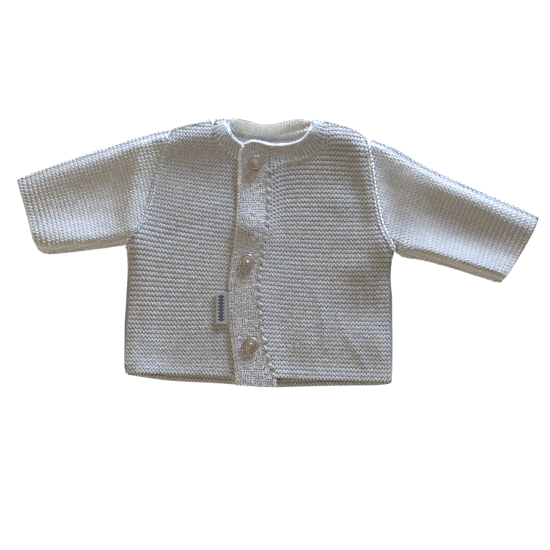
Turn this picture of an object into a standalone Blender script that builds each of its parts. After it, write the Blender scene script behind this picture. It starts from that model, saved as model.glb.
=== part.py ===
"""Baby cardigan in garter knit, buttoned and laid flat on its back.

Units in the tables are millimetres: X to the viewer's right (the wearer's left), Y towards the neck, Z up.
Right and left in names are the wearer's. Every knitted piece is a wall of its own: its outer points carry
the garter ridges or the ribs, its inner points are plain, and a rim joins the two.
"""
import bisect
import math

import bmesh
import bpy
import numpy as np

MM = 0.001

# Driving dimensions
WALL = 2.2                # knitted wall between the ridges
RIDGE_HEIGHT = 0.5        # a garter ridge above the wall
RIB_HEIGHT = 0.45         # a neckband rib above the wall
ROLL_HEIGHT = 0.5         # the rolled free edge of the neckband
LAYER_GAP = 0.4           # between two layers that lie on each other
SEAM_GAP = 0.3            # between two pieces at a seam
ARMHOLE_GAP = 0.5         # the same where a sleeve meets the curved armhole
RIM = 0.8                 # what is left of a wall at a side or shoulder seam
EDGE_RADIUS = WALL + LAYER_GAP / 2
FRONT_FLOOR = WALL + LAYER_GAP
OVERLAP_RISE = WALL + 0.6  # how far the buttonhole band lies above the button band's underside
LAP_RISE = 2.6            # lift of the left front where it meets the buttonhole band
LAP_WIDTH = 16.0
LAP_TOP = 90.0
LAP_START = -1.0
RIB_PITCH = 2.8

CREST_HEIGHT = 3.4        # how far the upper layer springs up beside a folded edge
CREST_REACH = 8.0
CREST_FADE = 24.0         # over this distance it sinks to its share in the middle
MIDDLE_SHARE = 0.42
PLACKET_CALM = 20.0       # half width of the calm strip along the buttons
PLACKET_SHARE = 0.35
HEM_LINE = -108.0
HEM_SHARE = 0.45
HEM_REACH = 32.0
LEAST_RELIEF, MOST_RELIEF = 0.1, 4.6

BUTTON_RADIUS = 6.45
SHANK_RADIUS = 1.2
BUTTONHOLE_LENGTH = 12.6
BUTTONHOLE_WIDTH = 3.4
LABEL_FOLD = 1.2          # height of the folded tab
LABEL_SHEET = 0.45        # one of its two layers
LABEL_INSET = 0.15        # roundness of its fold
LABEL_HOLLOW = 0.25
LABEL_STEPS = 5

# Side edges, armholes and shoulders. Columns: y, x.
RIGHT_SIDE = [
    (-102.8, -126.2), (-96.0, -127.8), (-65.5, -128.1), (-39.9, -127.1), (-14.4, -126.2), (6.8, -127.1),
]
LEFT_SIDE = [
    (-110.5, 94.8), (-99.5, 96.0), (-65.5, 96.5), (-39.9, 96.5), (-22.9, 95.2), (-9.3, 96.0), (1.7, 99.0),
]
RIGHT_ARMHOLE = [
    (6.8, -127.1), (16.1, -121.1), (24.6, -115.2), (35.7, -110.9),
    (47.6, -107.5), (63.8, -104.1), (85.0, -97.3), (105.0, -89.7),
]
LEFT_ARMHOLE = [
    (1.7, 99.0), (10.2, 93.9), (22.1, 88.8), (41.6, 85.0), (54.4, 82.9), (76.5, 79.9), (98.6, 74.8),
]

# Shoulder and back neck line. Columns: x, y.
RIGHT_SHOULDER = [(-89.7, 105.0), (-74.4, 109.1), (-54.8, 112.2)]
LEFT_SHOULDER = [(38.7, 112.2), (53.1, 108.4), (63.3, 105.0), (74.8, 98.6)]
BACK_NECK = [
    (-54.8, 112.2), (-54.5, 109.6), (-50.2, 108.3), (-41.2, 105.4), (-26.8, 101.4), (-9.8, 98.8),
    (5.5, 99.9), (20.0, 103.8), (33.5, 108.3), (38.4, 109.5), (38.7, 112.2),
]
BACK_HEM = [
    (-126.2, -103.6), (-110.1, -106.2), (-89.7, -108.8), (-48.9, -110.9), (-23.4, -113.0), (-8.1, -114.3),
    (22.5, -113.5), (53.1, -112.8), (83.7, -112.6), (94.8, -111.3),
]

# Front neck seams. Columns: y, x.
RIGHT_NECK = [(78.2, -30.2), (82.5, -37.8), (88.4, -44.6), (96.9, -50.6), (106.2, -53.8), (112.2, -54.8)]
LEFT_NECK = [
    (66.3, -7.8), (72.2, -2.1), (76.1, 3.8), (78.4, 11.5), (80.1, 20.0), (83.3, 28.5), (88.4, 34.9),
    (96.9, 37.8), (105.4, 38.7), (112.2, 38.7),
]

# Garter ridges of the fronts.
# Columns: ridge, y at the viewer's left end, y at the right end, bow in the middle.
RIGHT_FRONT_RIDGES = [
    (0, -102.8, -106.1, 0.8), (5, -86.2, -87.4, -0.6), (10, -68.6, -68.6, -1.5), (15, -49.6, -50.6, -0.8),
    (20, -28.8, -33.2, -0.2), (25, -6.2, -15.6, -0.6), (30, 15.6, 2.4, -1.0), (35, 35.4, 21.0, -1.0),
    (40, 53.2, 39.8, -0.8), (45, 69.6, 58.8, -0.6), (50, 85.2, 77.4, -0.9), (56, 102.4, 98.4, -0.8),
    (60, 114.8, 112.2, 0.0), (64, 127.5, 126.0, 0.0),
]
LEFT_FRONT_RIDGES = [
    (0, -106.7, -110.1, -0.4), (5, -88.0, -92.2, -0.3), (10, -69.3, -74.2, -0.9), (15, -50.6, -55.6, -1.7),
    (20, -31.7, -36.4, -2.2), (25, -13.4, -17.2, -2.0), (30, 5.1, 1.9, -1.7), (35, 23.6, 21.0, -1.2),
    (40, 42.5, 39.9, -0.2), (45, 62.0, 59.1, 0.5), (50, 82.5, 78.6, 1.0), (54, 99.0, 95.4, 0.6),
    (58, 114.6, 112.2, 0.0), (62, 129.5, 128.5, 0.0),
]
# Rows between which every line up a front reaches the shoulder.
RIGHT_FRONT_LAST, LEFT_FRONT_LAST = (45.0, 64.0), (45.0, 62.0)

# Sleeves. Columns: ridge from the cuff, upper end x, y, lower end x, y, outward bow in the middle. The lower
# ends run on past the underarm, where the armhole cuts the ridges off.
RIGHT_SLEEVE = [
    (0.0, -221.4, 61.6, -203.6, 3.8, 0.0), (1.0, -217.8, 63.2, -199.8, -0.3, 0.5),
    (2.0, -214.2, 64.6, -194.8, -1.8, 0.8), (4.0, -207.2, 67.4, -186.4, -1.6, 0.5),
    (7.0, -197.4, 71.2, -175.9, -0.6, -0.1), (11.0, -184.6, 75.8, -162.8, 1.0, -0.8),
    (16.0, -169.0, 81.2, -147.5, 2.9, -1.6), (22.0, -150.8, 87.2, -129.8, 5.5, -2.4),
    (28.0, -131.6, 93.8, -112.9, 7.6, -3.2), (34.0, -112.4, 99.8, -95.6, 9.4, -4.0),
    (40.0, -91.4, 105.0, -78.5, 10.4, -4.6), (47.0, -67.0, 109.2, -58.0, 11.6, -5.0),
]
LEFT_SLEEVE = [
    (0.0, 221.8, 29.3, 188.3, -26.3, 2.6), (3.0, 209.4, 35.5, 180.4, -24.5, 0.6),
    (7.0, 193.4, 42.3, 167.6, -20.4, -1.2), (14.0, 167.2, 54.0, 144.0, -13.0, -2.0),
    (21.0, 142.6, 65.0, 119.7, -6.7, -2.4), (25.0, 129.4, 71.7, 106.6, -4.5, -2.4),
    (28.0, 120.4, 76.6, 96.6, 0.9, -2.5), (35.0, 100.6, 88.2, 72.6, 3.1, -3.0),
    (42.0, 80.6, 96.5, 51.0, 4.2, -3.4), (49.0, 58.0, 104.0, 30.0, 5.2, -3.4),
]
# How many rows of each sleeve's table have their lower end outside the armhole.
RIGHT_SLEEVE_FREE, LEFT_SLEEVE_FREE = 8, 6

# Bands, from the hem up. Columns: step, left edge x, y, right edge x, y.
BUTTONHOLE_BAND = [
    (0, -33.6, -112.2, -2.1, -112.9), (1, -34.0, -103.7, -3.0, -104.5), (3, -37.0, -79.9, -10.2, -79.9),
    (5, -39.5, -56.9, -14.4, -54.4), (7, -39.9, -27.2, -15.7, -27.2), (9, -35.3, 6.8, -11.5, 6.8),
    (11, -33.1, 32.3, -8.1, 32.3), (12, -32.7, 49.3, -7.6, 49.3), (14, -31.9, 70.5, -8.1, 68.8),
    (15, -31.6, 82.5, -8.1, 80.8), (15.5, -29.9, 87.5, -8.1, 85.0), (16, -27.2, 91.0, -8.1, 88.0),
    (16.5, -22.9, 93.7, -8.1, 91.0),
]
BUTTON_BAND = [
    (0, -31.9, -105.9, -5.6, -106.6), (3, -34.9, -80.0, -12.7, -80.0), (5, -37.3, -57.0, -16.9, -57.0),
    (7, -37.8, -27.0, -18.2, -27.0), (9, -33.3, 6.8, -14.0, 6.8), (11, -31.1, 32.3, -10.6, 32.3),
    (12, -30.7, 49.3, -10.0, 49.3), (14, -29.9, 70.5, -10.6, 70.5), (16, -29.2, 90.8, -10.6, 88.0),
]

# Neckband. Columns: step, seam edge x, y, free edge x, y. The first and last rows of a part are the lines
# about which the band turns over at the two neck corners.
NECK_RIGHT_FRONT = [
    (0, -29.7, 78.0, -29.5, 91.0), (1, -37.8, 82.5, -34.4, 94.3), (2, -44.6, 88.4, -39.1, 99.0),
    (3, -50.6, 96.9, -41.6, 105.0), (4, -54.2, 109.9, -43.2, 112.5),
]
NECK_BACK = [
    (0, -54.2, 109.9, -43.2, 112.5), (1, -41.2, 105.8, -34.4, 113.5), (2, -26.8, 101.6, -23.4, 111.3),
    (3, -9.8, 98.8, -8.9, 108.4), (4, 5.5, 99.9, 4.7, 110.9), (5, 20.0, 104.1, 16.6, 113.2),
    (6, 38.4, 109.8, 28.6, 111.2),
]
NECK_LEFT_FRONT = [
    (0, 38.4, 109.8, 28.6, 111.2), (1, 38.7, 105.0, 28.9, 107.6), (2, 37.8, 96.9, 26.9, 103.0),
    (3, 34.9, 88.4, 24.2, 98.6), (4, 28.5, 83.3, 20.4, 95.0), (5, 20.0, 80.1, 14.9, 92.4),
    (6, 11.5, 78.4, 7.6, 91.0), (7, 3.8, 76.1, 1.3, 90.4), (8, -2.1, 72.2, -3.8, 90.4),
    (9, -7.6, 66.6, -7.8, 90.8),
]

# Soft crests and troughs of the upper layer.
# Columns: x, y, half length, half width, angle in degrees, height.
SLEEVE_FOLDS = [
    (-155.0, 52.0, 50.0, 15.0, 12.0, -1.9), (-180.0, 14.0, 34.0, 10.0, 5.0, 1.0),
    (-138.0, 80.0, 34.0, 9.0, 20.0, 0.9), (155.0, 19.0, 60.0, 14.0, -24.0, -2.0),
    (165.0, 47.0, 58.0, 9.0, -27.0, 0.8), (148.0, -8.0, 58.0, 9.0, -17.0, 1.2),
]
SHOULDER_FOLDS = [
    (-62.0, 103.0, 36.0, 15.0, 10.0, 1.6), (-60.0, 61.0, 40.0, 16.0, -20.0, -1.2),
    (52.0, 102.0, 28.0, 14.0, -15.0, 1.5), (44.0, 54.0, 34.0, 16.0, 0.0, -1.0),
    (-98.0, 60.0, 44.0, 7.0, 72.0, -0.9), (86.0, 45.0, 50.0, 3.5, -78.0, 1.2),
    (99.0, 52.0, 40.0, 8.0, -78.0, -0.9),
]
BODY_FOLDS = [
    (74.0, -14.0, 18.0, 12.0, 0.0, 1.2), (74.0, -47.0, 16.0, 14.0, 0.0, -0.9),
    (80.0, -72.0, 24.0, 6.0, -68.0, 0.8), (24.0, -78.0, 26.0, 5.0, -79.0, 0.6),
    (-117.0, -100.0, 34.0, 22.0, -45.0, 1.6),
]
PLACKET_FOLDS = [
    (-19.0, 94.0, 22.0, 13.0, 0.0, 1.3), (-20.0, 63.0, 18.0, 13.0, 0.0, -0.4),
    (-22.0, 18.0, 18.0, 18.0, 0.0, 0.9),
]

# Buttons, from the neck down. Columns: x, y.
BUTTONS = [(-18.8, 74.8), (-25.5, -9.1), (-22.6, -78.7)]
# Half section of a button. Columns: radius, height above its underside.
BUTTON_PROFILE = [
    (5.3, 0.0), (6.2, 0.5), (BUTTON_RADIUS, 1.15), (6.2, 1.8), (5.5, 2.15), (4.7, 1.75), (4.0, 2.05),
    (2.6, 2.95), (1.2, 3.35),
]
BUTTON_SIDES = 24
BUTTON_CROWN = 0.08       # rise of the middle above the last ring of the profile

LABEL_LEFT, LABEL_RIGHT = -51.9, -40.5
LABEL_TOP, LABEL_BOTTOM = -34.0, -62.0

COLOURS = {
    "garter": (0.80, 0.80, 0.79),
    "band": (0.78, 0.78, 0.77),
    "button": (0.80, 0.74, 0.68),
    "label": (0.62, 0.63, 0.72),
}


def smooth(part):
    """A soft step from 0 to 1."""
    part = min(max(part, 0.0), 1.0)
    return part * part * (3.0 - 2.0 * part)


def mix(start, end, part):
    return start + (end - start) * part


class Track:
    """A smooth line through the rows of a table, read by its first column, with no overshoot between rows."""

    def __init__(self, rows, clamp=False):
        rows = sorted(rows)
        self.clamp = clamp
        self.keys = [row[0] for row in rows]
        self.values = np.array([row[1:] for row in rows], float)
        spans = np.diff(self.keys)[:, None]
        rises = np.diff(self.values, axis=0) / spans
        slopes = np.zeros_like(self.values)
        slopes[0], slopes[-1] = rises[0], rises[-1]
        for spot in range(1, len(rows) - 1):
            before, after = rises[spot - 1], rises[spot]
            same = before * after > 0
            total = np.where(same, before + after, 1.0)
            slopes[spot] = np.where(same, 2.0 * before * after / total, 0.0)
        self.rises, self.slopes = rises, slopes

    def __call__(self, key):
        if self.clamp:
            key = min(max(key, self.keys[0]), self.keys[-1])
        if key <= self.keys[0]:
            return self.values[0] + self.rises[0] * (key - self.keys[0])
        if key >= self.keys[-1]:
            return self.values[-1] + self.rises[-1] * (key - self.keys[-1])
        spot = bisect.bisect_right(self.keys, key) - 1
        span = self.keys[spot + 1] - self.keys[spot]
        part = (key - self.keys[spot]) / span
        start, end = self.values[spot], self.values[spot + 1]
        rise = end - start
        first, last = self.slopes[spot] * span, self.slopes[spot + 1] * span
        bend, twist = 3 * rise - 2 * first - last, first + last - 2 * rise
        return start + part * (first + part * (bend + part * twist))


RIGHT_SIDE_LINE, LEFT_SIDE_LINE = Track(RIGHT_SIDE), Track(LEFT_SIDE)
RIGHT_ARM_LINE, LEFT_ARM_LINE = Track(RIGHT_ARMHOLE, clamp=True), Track(LEFT_ARMHOLE, clamp=True)
RIGHT_SHOULDER_LINE, LEFT_SHOULDER_LINE = Track(RIGHT_SHOULDER), Track(LEFT_SHOULDER)
BACK_NECK_LINE, BACK_HEM_LINE = Track(BACK_NECK), Track(BACK_HEM)
RIGHT_NECK_LINE, LEFT_NECK_LINE = Track(RIGHT_NECK), Track(LEFT_NECK)
RIGHT_SLEEVE_TRACK, LEFT_SLEEVE_TRACK = Track(RIGHT_SLEEVE), Track(LEFT_SLEEVE)
BUTTONHOLE_TRACK, BUTTON_TRACK = Track(BUTTONHOLE_BAND), Track(BUTTON_BAND)
BAND_RIGHT_LINE = Track([(row[4], row[3]) for row in BUTTONHOLE_BAND])
UNDER_LEFT_LINE = Track([(row[2], row[1]) for row in BUTTON_BAND])
RIGHT_UNDERARM, LEFT_UNDERARM = RIGHT_ARMHOLE[0][0], LEFT_ARMHOLE[0][0]


def body_left(y):
    """The viewer's left edge of the body: side edge, then armhole."""
    return float((RIGHT_ARM_LINE if y > RIGHT_UNDERARM else RIGHT_SIDE_LINE)(y)[0])


def body_right(y):
    return float((LEFT_ARM_LINE if y > LEFT_UNDERARM else LEFT_SIDE_LINE)(y)[0])


def right_front_inner(y):
    """Where the right front meets the button band and then the neckband."""
    if y > RIGHT_NECK[0][0]:
        return float(RIGHT_NECK_LINE(y)[0])
    return float(UNDER_LEFT_LINE(y)[0]) - SEAM_GAP


def left_front_inner(y):
    """Where the left front meets the buttonhole band and then the neckband."""
    if y > LEFT_NECK[0][0]:
        return float(LEFT_NECK_LINE(y)[0])
    return float(BAND_RIGHT_LINE(y)[0]) + SEAM_GAP


def top_line(x):
    """The upper edge of the back: shoulders and the neck between them."""
    if x < RIGHT_SHOULDER[-1][0]:
        return float(RIGHT_SHOULDER_LINE(x)[0])
    if x > LEFT_SHOULDER[0][0]:
        return float(LEFT_SHOULDER_LINE(x)[0])
    return float(BACK_NECK_LINE(x)[0])


def fold_edges():
    """Straight stretches along every edge where the garment turns under."""
    lines = [
        [(x, y) for y, x in RIGHT_SIDE],
        [(x, y) for y, x in LEFT_SIDE],
        RIGHT_SHOULDER + [row[3:5] for row in NECK_BACK[1:-1]] + LEFT_SHOULDER,
    ]
    for sleeve, free in ((RIGHT_SLEEVE, RIGHT_SLEEVE_FREE), (LEFT_SLEEVE, LEFT_SLEEVE_FREE)):
        lines.append([row[1:3] for row in sleeve[:-2]])
        lines.append([row[3:5] for row in sleeve[:free]])
    starts = [point for line in lines for point in line[:-1]]
    ends = [point for line in lines for point in line[1:]]
    return np.array(starts, float), np.array(ends, float)


EDGE_STARTS, EDGE_ENDS = fold_edges()
EDGE_RUNS = EDGE_ENDS - EDGE_STARTS


def fold_distance(x, y):
    away = np.array((x, y)) - EDGE_STARTS
    part = np.clip((away * EDGE_RUNS).sum(1) / (EDGE_RUNS ** 2).sum(1), 0.0, 1.0)
    return float(np.sqrt(((away - EDGE_RUNS * part[:, None]) ** 2).sum(1).min()))


def folds(table, x, y):
    """The sum of a table's crests and troughs at one point."""
    height = 0.0
    for centre_x, centre_y, half_length, half_width, angle, rise in table:
        turn = math.radians(angle)
        along = (x - centre_x) * math.cos(turn) + (y - centre_y) * math.sin(turn)
        across = (y - centre_y) * math.cos(turn) - (x - centre_x) * math.sin(turn)
        height += rise * math.exp(-(along / half_length) ** 2 - (across / half_width) ** 2)
    return height


def relief(x, y):
    """How far the upper layer stands off the lower one."""
    distance = fold_distance(x, y)
    near_edge = math.exp(-(distance / CREST_REACH) ** 2)
    middle = mix(MIDDLE_SHARE, 1.0, math.exp(-(distance / CREST_FADE) ** 2))
    height = CREST_HEIGHT * middle + folds(SLEEVE_FOLDS + SHOULDER_FOLDS + BODY_FOLDS, x, y)
    placket = (x - 0.5 * (float(BAND_RIGHT_LINE(y)[0]) + float(UNDER_LEFT_LINE(y)[0]))) / PLACKET_CALM
    height *= 1.0 - (1.0 - PLACKET_SHARE) * math.exp(-placket ** 4)
    height *= mix(HEM_SHARE, 1.0, smooth((y - HEM_LINE) / HEM_REACH))
    height += folds(PLACKET_FOLDS, x, y)
    return (1.0 - near_edge) * min(max(height, LEAST_RELIEF), MOST_RELIEF)


def lap(x, y):
    """Extra lift of the left front and the neckband beside the buttonhole band, over the button band."""
    beside = x - float(BAND_RIGHT_LINE(min(y, LAP_TOP))[0])
    return LAP_RISE * (1.0 - smooth(beside / LAP_WIDTH)) if beside > LAP_START else 0.0


def right_floor(x, y):
    return FRONT_FLOOR + relief(x, y)


def left_floor(x, y):
    return FRONT_FLOOR + relief(x, y) + lap(x, y)


def band_floor(x, y):
    return FRONT_FLOOR + relief(x, y) + OVERLAP_RISE


def edge_drop(distance, radius, depth):
    """How much a wall is rounded off at a distance from its edge."""
    if distance >= radius:
        return 0.0
    inside = radius - max(distance, 0.0)
    return depth * (1.0 - math.sqrt(1.0 - (inside / radius) ** 2))


class Wall:
    """The points and faces of one closed wall."""

    def __init__(self):
        self.points = []
        self.faces = []

    def add(self, x, y, z):
        self.points.append((x * MM, y * MM, z * MM))
        return len(self.points) - 1

    def strip(self, first, second):
        """Faces between two lines of (key, point number), each in rising order of its keys."""
        one = two = 0
        while one < len(first) - 1 or two < len(second) - 1:
            ahead_one = first[one + 1][0] if one < len(first) - 1 else math.inf
            ahead_two = second[two + 1][0] if two < len(second) - 1 else math.inf
            if ahead_one < ahead_two - 1e-9:
                self.faces.append((first[one][1], second[two][1], first[one + 1][1]))
                one += 1
            else:
                self.faces.append((first[one][1], second[two][1], second[two + 1][1]))
                two += 1

    def skin(self, lines):
        for first, second in zip(lines, lines[1:]):
            self.strip(first, second)

    def rim(self, outer, inner, outer_ends, inner_ends):
        """Joins an outer and an inner sheet of lines, all round their edges."""
        self.strip(outer[0], inner[0])
        self.strip(inner[-1], outer[-1])
        for end in (0, -1):
            self.strip([(key, line[end][1]) for key, line in zip(outer_ends, outer)],
                       [(key, line[end][1]) for key, line in zip(inner_ends, inner)])


def make_object(name, wall, colour):
    mesh = bpy.data.meshes.new(name)
    shape = bmesh.new()
    corners = [shape.verts.new(point) for point in wall.points]
    for face in wall.faces:
        if len(set(face)) == len(face):
            shape.faces.new([corners[number] for number in face])
    bmesh.ops.recalc_face_normals(shape, faces=shape.faces)
    shape.to_mesh(mesh)
    shape.free()
    piece = bpy.data.objects.new(name, mesh)
    bpy.context.collection.objects.link(piece)
    mesh.materials.append(make_material(name, colour))
    return piece


def make_material(name, colour):
    material = bpy.data.materials.new(name)
    material.use_nodes = True
    shader = material.node_tree.nodes["Principled BSDF"]
    shader.inputs["Base Color"].default_value = (*COLOURS[colour], 1.0)
    shader.inputs["Roughness"].default_value = 0.25 if colour == "button" else 0.9
    shader.inputs["Metallic"].default_value = 0.0
    return material


# ---------------------------------------------------------------- fronts and back

class Panel:
    """A flat-knitted panel between a left and a right edge, whose rows run across it."""

    def __init__(self, left, right, rows, floor, last_row):
        self.left, self.right, self.rows, self.floor = left, right, Track(rows), floor
        self.last_row = last_row

    def place(self, station, row):
        """A point in plan. A station is (side, distance) or ("part", share of the width)."""
        side, value = station
        share = value if side == "part" else 0.02 if side == "left" else 0.98
        for _ in range(4):
            low, high, bow = self.rows(row)
            y = mix(low, high, share) + bow * 4.0 * share * (1.0 - share)
            left, right = self.left(y), self.right(y)
            x = {"left": left + value, "right": right - value, "part": mix(left, right, value)}[side]
            share = min(max((x - left) / (right - left), 0.0), 1.0)
        return float(x), float(y)

    def last(self, station, top):
        """The row at which a station reaches the shoulder."""
        low, high = self.last_row
        for _ in range(HALVINGS):
            middle = 0.5 * (low + high)
            x, y = self.place(station, middle)
            low, high = (middle, high) if y < top(x) else (low, middle)
        return 0.5 * (low + high)


FINE_SHARES = (0.06, 0.14, 0.23, 0.33, 0.44, 0.56, 0.68, 0.8, 0.91)
PLAIN_SHARES = (0.1, 0.26, 0.44, 0.62, 0.8)
BOUNDARY_STEP = 3.0       # longest straight stretch along a seam edge
EDGE_STEP = 0.9           # from an edge to the first line beside it
END_DEPTH = 0.6           # how much the first row of a piece is rounded off
SHORTEST_ROW = 0.4        # least share of a step between the last row and the edge above it
ARM_BLEND = 3.0           # below the underarm the side's round edge starts within this length


def stations_of(open_side, fine):
    """Lines across a front, left to right. The open side is rounded down to the side seam."""
    shares = FINE_SHARES if fine else PLAIN_SHARES
    near = (0.0, EDGE_STEP, EDGE_RADIUS) if fine else (0.0,)
    if open_side == "right":
        inside = [("part", share) for share in shares]
        return [("left", 0.0)] + inside + [("right", distance) for distance in near[::-1]]
    inside = [("part", 1.0 - share) for share in shares[::-1]]
    return [("left", distance) for distance in near] + inside + [("right", 0.0)]


def station_key(station):
    side, value = station
    return value * 0.01 if side == "left" else 1.0 - value * 0.01 if side == "right" else value


def close_rows(panel, station, rows):
    """Adds rows to a line until none of its straight stretches is longer than BOUNDARY_STEP."""
    filled = [rows[0]]
    for row in rows[1:]:
        start, end = panel.place(station, filled[-1]), panel.place(station, row)
        pieces = max(1, math.ceil(math.dist(start, end) / BOUNDARY_STEP))
        before = filled[-1]
        filled += [mix(before, row, number / pieces) for number in range(1, pieces)] + [row]
    return filled


def front_panel(name, panel, open_side, underarm):
    """One front. open_side is the side where the body's side edge and armhole are."""
    wall = Wall()
    outer, inner = [], []
    outer_stations, inner_stations = stations_of(open_side, True), stations_of(open_side, False)
    for station in outer_stations:
        end = panel.last(station, top_line)
        at_edge = station[1] == 0.0
        coarse = station[0] == open_side and at_edge
        steps = int(end - SHORTEST_ROW) if coarse else int(2 * end - SHORTEST_ROW)
        rows = [number if coarse else 0.5 * number for number in range(steps + 1)] + [end]
        if at_edge:
            rows = close_rows(panel, station, rows)
        line = []
        for row in rows:
            x, y = panel.place(station, row)
            ridge = RIDGE_HEIGHT if row % 1.0 == 0.5 else 0.0
            below_arm = smooth((underarm - y) / ARM_BLEND)
            from_side = abs(x - (panel.left(y) if open_side == "left" else panel.right(y)))
            drop = edge_drop(from_side, EDGE_RADIUS, WALL - RIM) * below_arm
            drop = max(drop, edge_drop(top_line(x) - y, EDGE_RADIUS, WALL - RIM))
            if row == 0:
                drop = max(drop, END_DEPTH)
            ridge *= 1.0 - drop / (WALL - RIM)
            line.append((row, wall.add(x, y, panel.floor(x, y) + WALL + ridge - drop)))
        outer.append(line)
    for station in inner_stations:
        end = panel.last(station, top_line)
        at_edge = station[1] == 0.0
        rows = list(range(0, int(end - 1.0), 2 if at_edge else 4)) + [end]
        if at_edge:
            rows = close_rows(panel, station, rows)
        line = []
        for row in rows:
            x, y = panel.place(station, row)
            line.append((row, wall.add(x, y, panel.floor(x, y))))
        inner.append(line)
    wall.skin(outer)
    wall.skin(inner[::-1])
    wall.rim(outer, inner, [station_key(s) for s in outer_stations], [station_key(s) for s in inner_stations])
    return make_object(name, wall, "garter")


BACK_ROWS = 17
BACK_SHARES = [
    0.0, 0.012, 0.06, 0.14, 0.211, 0.2145, 0.26, 0.32, 0.38, 0.44, 0.5,
    0.56, 0.62, 0.68, 0.735, 0.7785, 0.782, 0.86, 0.94, 0.988, 1.0,
]
HEM_SEARCH, TOP_SEARCH = (-120.0, -90.0), (80.0, 120.0)
HALVINGS = 30             # steps of a search by halving


def back_panel():
    """The back: flat underneath, its side and shoulder edges rounded up to the seams."""
    wall = Wall()
    outer, inner = [], []
    for share in BACK_SHARES:
        low, high = HEM_SEARCH
        for _ in range(HALVINGS):
            bottom = 0.5 * (low + high)
            x = mix(body_left(bottom), body_right(bottom), share)
            low, high = (bottom, high) if bottom < float(BACK_HEM_LINE(x)[0]) else (low, bottom)
        low, high = TOP_SEARCH
        for _ in range(HALVINGS):
            top = 0.5 * (low + high)
            x = mix(body_left(top), body_right(top), share)
            low, high = (top, high) if top < top_line(x) else (low, top)
        heights = [mix(bottom, top - EDGE_RADIUS, step / BACK_ROWS) for step in range(BACK_ROWS + 1)]
        heights += [top - EDGE_STEP, top]
        under_line, top_side_line = [], []
        for row, y in enumerate(heights):
            x = mix(body_left(y), body_right(y), share)
            from_side = min(x - body_left(y), body_right(y) - x)
            below_arm = smooth(((RIGHT_UNDERARM if share < 0.5 else LEFT_UNDERARM) - y) / ARM_BLEND)
            rise = edge_drop(from_side, EDGE_RADIUS, WALL - RIM) * below_arm
            if not RIGHT_SHOULDER[-1][0] < x < LEFT_SHOULDER[0][0]:
                rise = max(rise, edge_drop(top - y, EDGE_RADIUS, WALL - RIM))
            under_line.append((row, wall.add(x, y, rise)))
            top_side_line.append((row, wall.add(x, y, WALL)))
        outer.append(under_line)
        inner.append(top_side_line)
    wall.skin(outer[::-1])
    wall.skin(inner)
    wall.rim(inner, outer, BACK_SHARES, BACK_SHARES)
    return make_object("back_panel", wall, "garter")


# ---------------------------------------------------------------- sleeves

class Sleeve:
    """A knitted tube lying flat. Its ridges run round it, from the cuff to the armhole."""

    def __init__(self, table, arm_line, outward):
        self.track, self.arm_line, self.outward = table, arm_line, outward
        self.ridges = table.keys[-1]

    def place(self, station, ridge):
        side, value = station
        upper_x, upper_y, lower_x, lower_y, bow = self.track(ridge)
        length = math.hypot(lower_x - upper_x, lower_y - upper_y)
        share = {"upper": value / length, "lower": 1.0 - value / length, "part": value}[side]
        bulge = self.outward * bow * 4.0 * share * (1.0 - share)
        return float(mix(upper_x, lower_x, share) + bulge), float(mix(upper_y, lower_y, share))

    def last(self, station):
        """The ridge number at which a station reaches the armhole seam."""
        low, high = 0.0, self.ridges
        for _ in range(HALVINGS):
            middle = 0.5 * (low + high)
            x, y = self.place(station, middle)
            inside = self.outward * (x - float(self.arm_line(y)[0])) > ARMHOLE_GAP
            low, high = (middle, high) if inside else (low, middle)
        return 0.5 * (low + high)


HOLLOW_EDGE = 2.7         # from a fold of the sleeve to the inside of that fold
HOLLOW_SIDE = 4.5         # from a fold to the first line inside the hollow
SLEEVE_EDGE_STEP = 0.8
CUFF_DEPTH = 0.5
PLAIN_STEP, LONG_STEP = 3.0, 12.0
TOP_SHARES = (0.1, 0.22, 0.35, 0.48, 0.61, 0.74, 0.88)
UNDER_SHARES = (0.88, 0.76, 0.64, 0.52, 0.4, 0.28, 0.16)
SLEEVE_TOP = [
    ("upper", SLEEVE_EDGE_STEP), ("upper", EDGE_RADIUS), *(("part", share) for share in TOP_SHARES),
    ("lower", EDGE_RADIUS), ("lower", SLEEVE_EDGE_STEP),
]
SLEEVE_UNDER = [
    ("lower", SLEEVE_EDGE_STEP), ("lower", EDGE_RADIUS), *(("part", share) for share in UNDER_SHARES),
    ("upper", EDGE_RADIUS), ("upper", SLEEVE_EDGE_STEP),
]
SLEEVE_HOLLOW_TOP = [
    ("upper", HOLLOW_SIDE), *(("part", share) for share in UNDER_SHARES[::-1]), ("lower", HOLLOW_SIDE),
]
SLEEVE_HOLLOW_UNDER = SLEEVE_HOLLOW_TOP[::-1]


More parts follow.
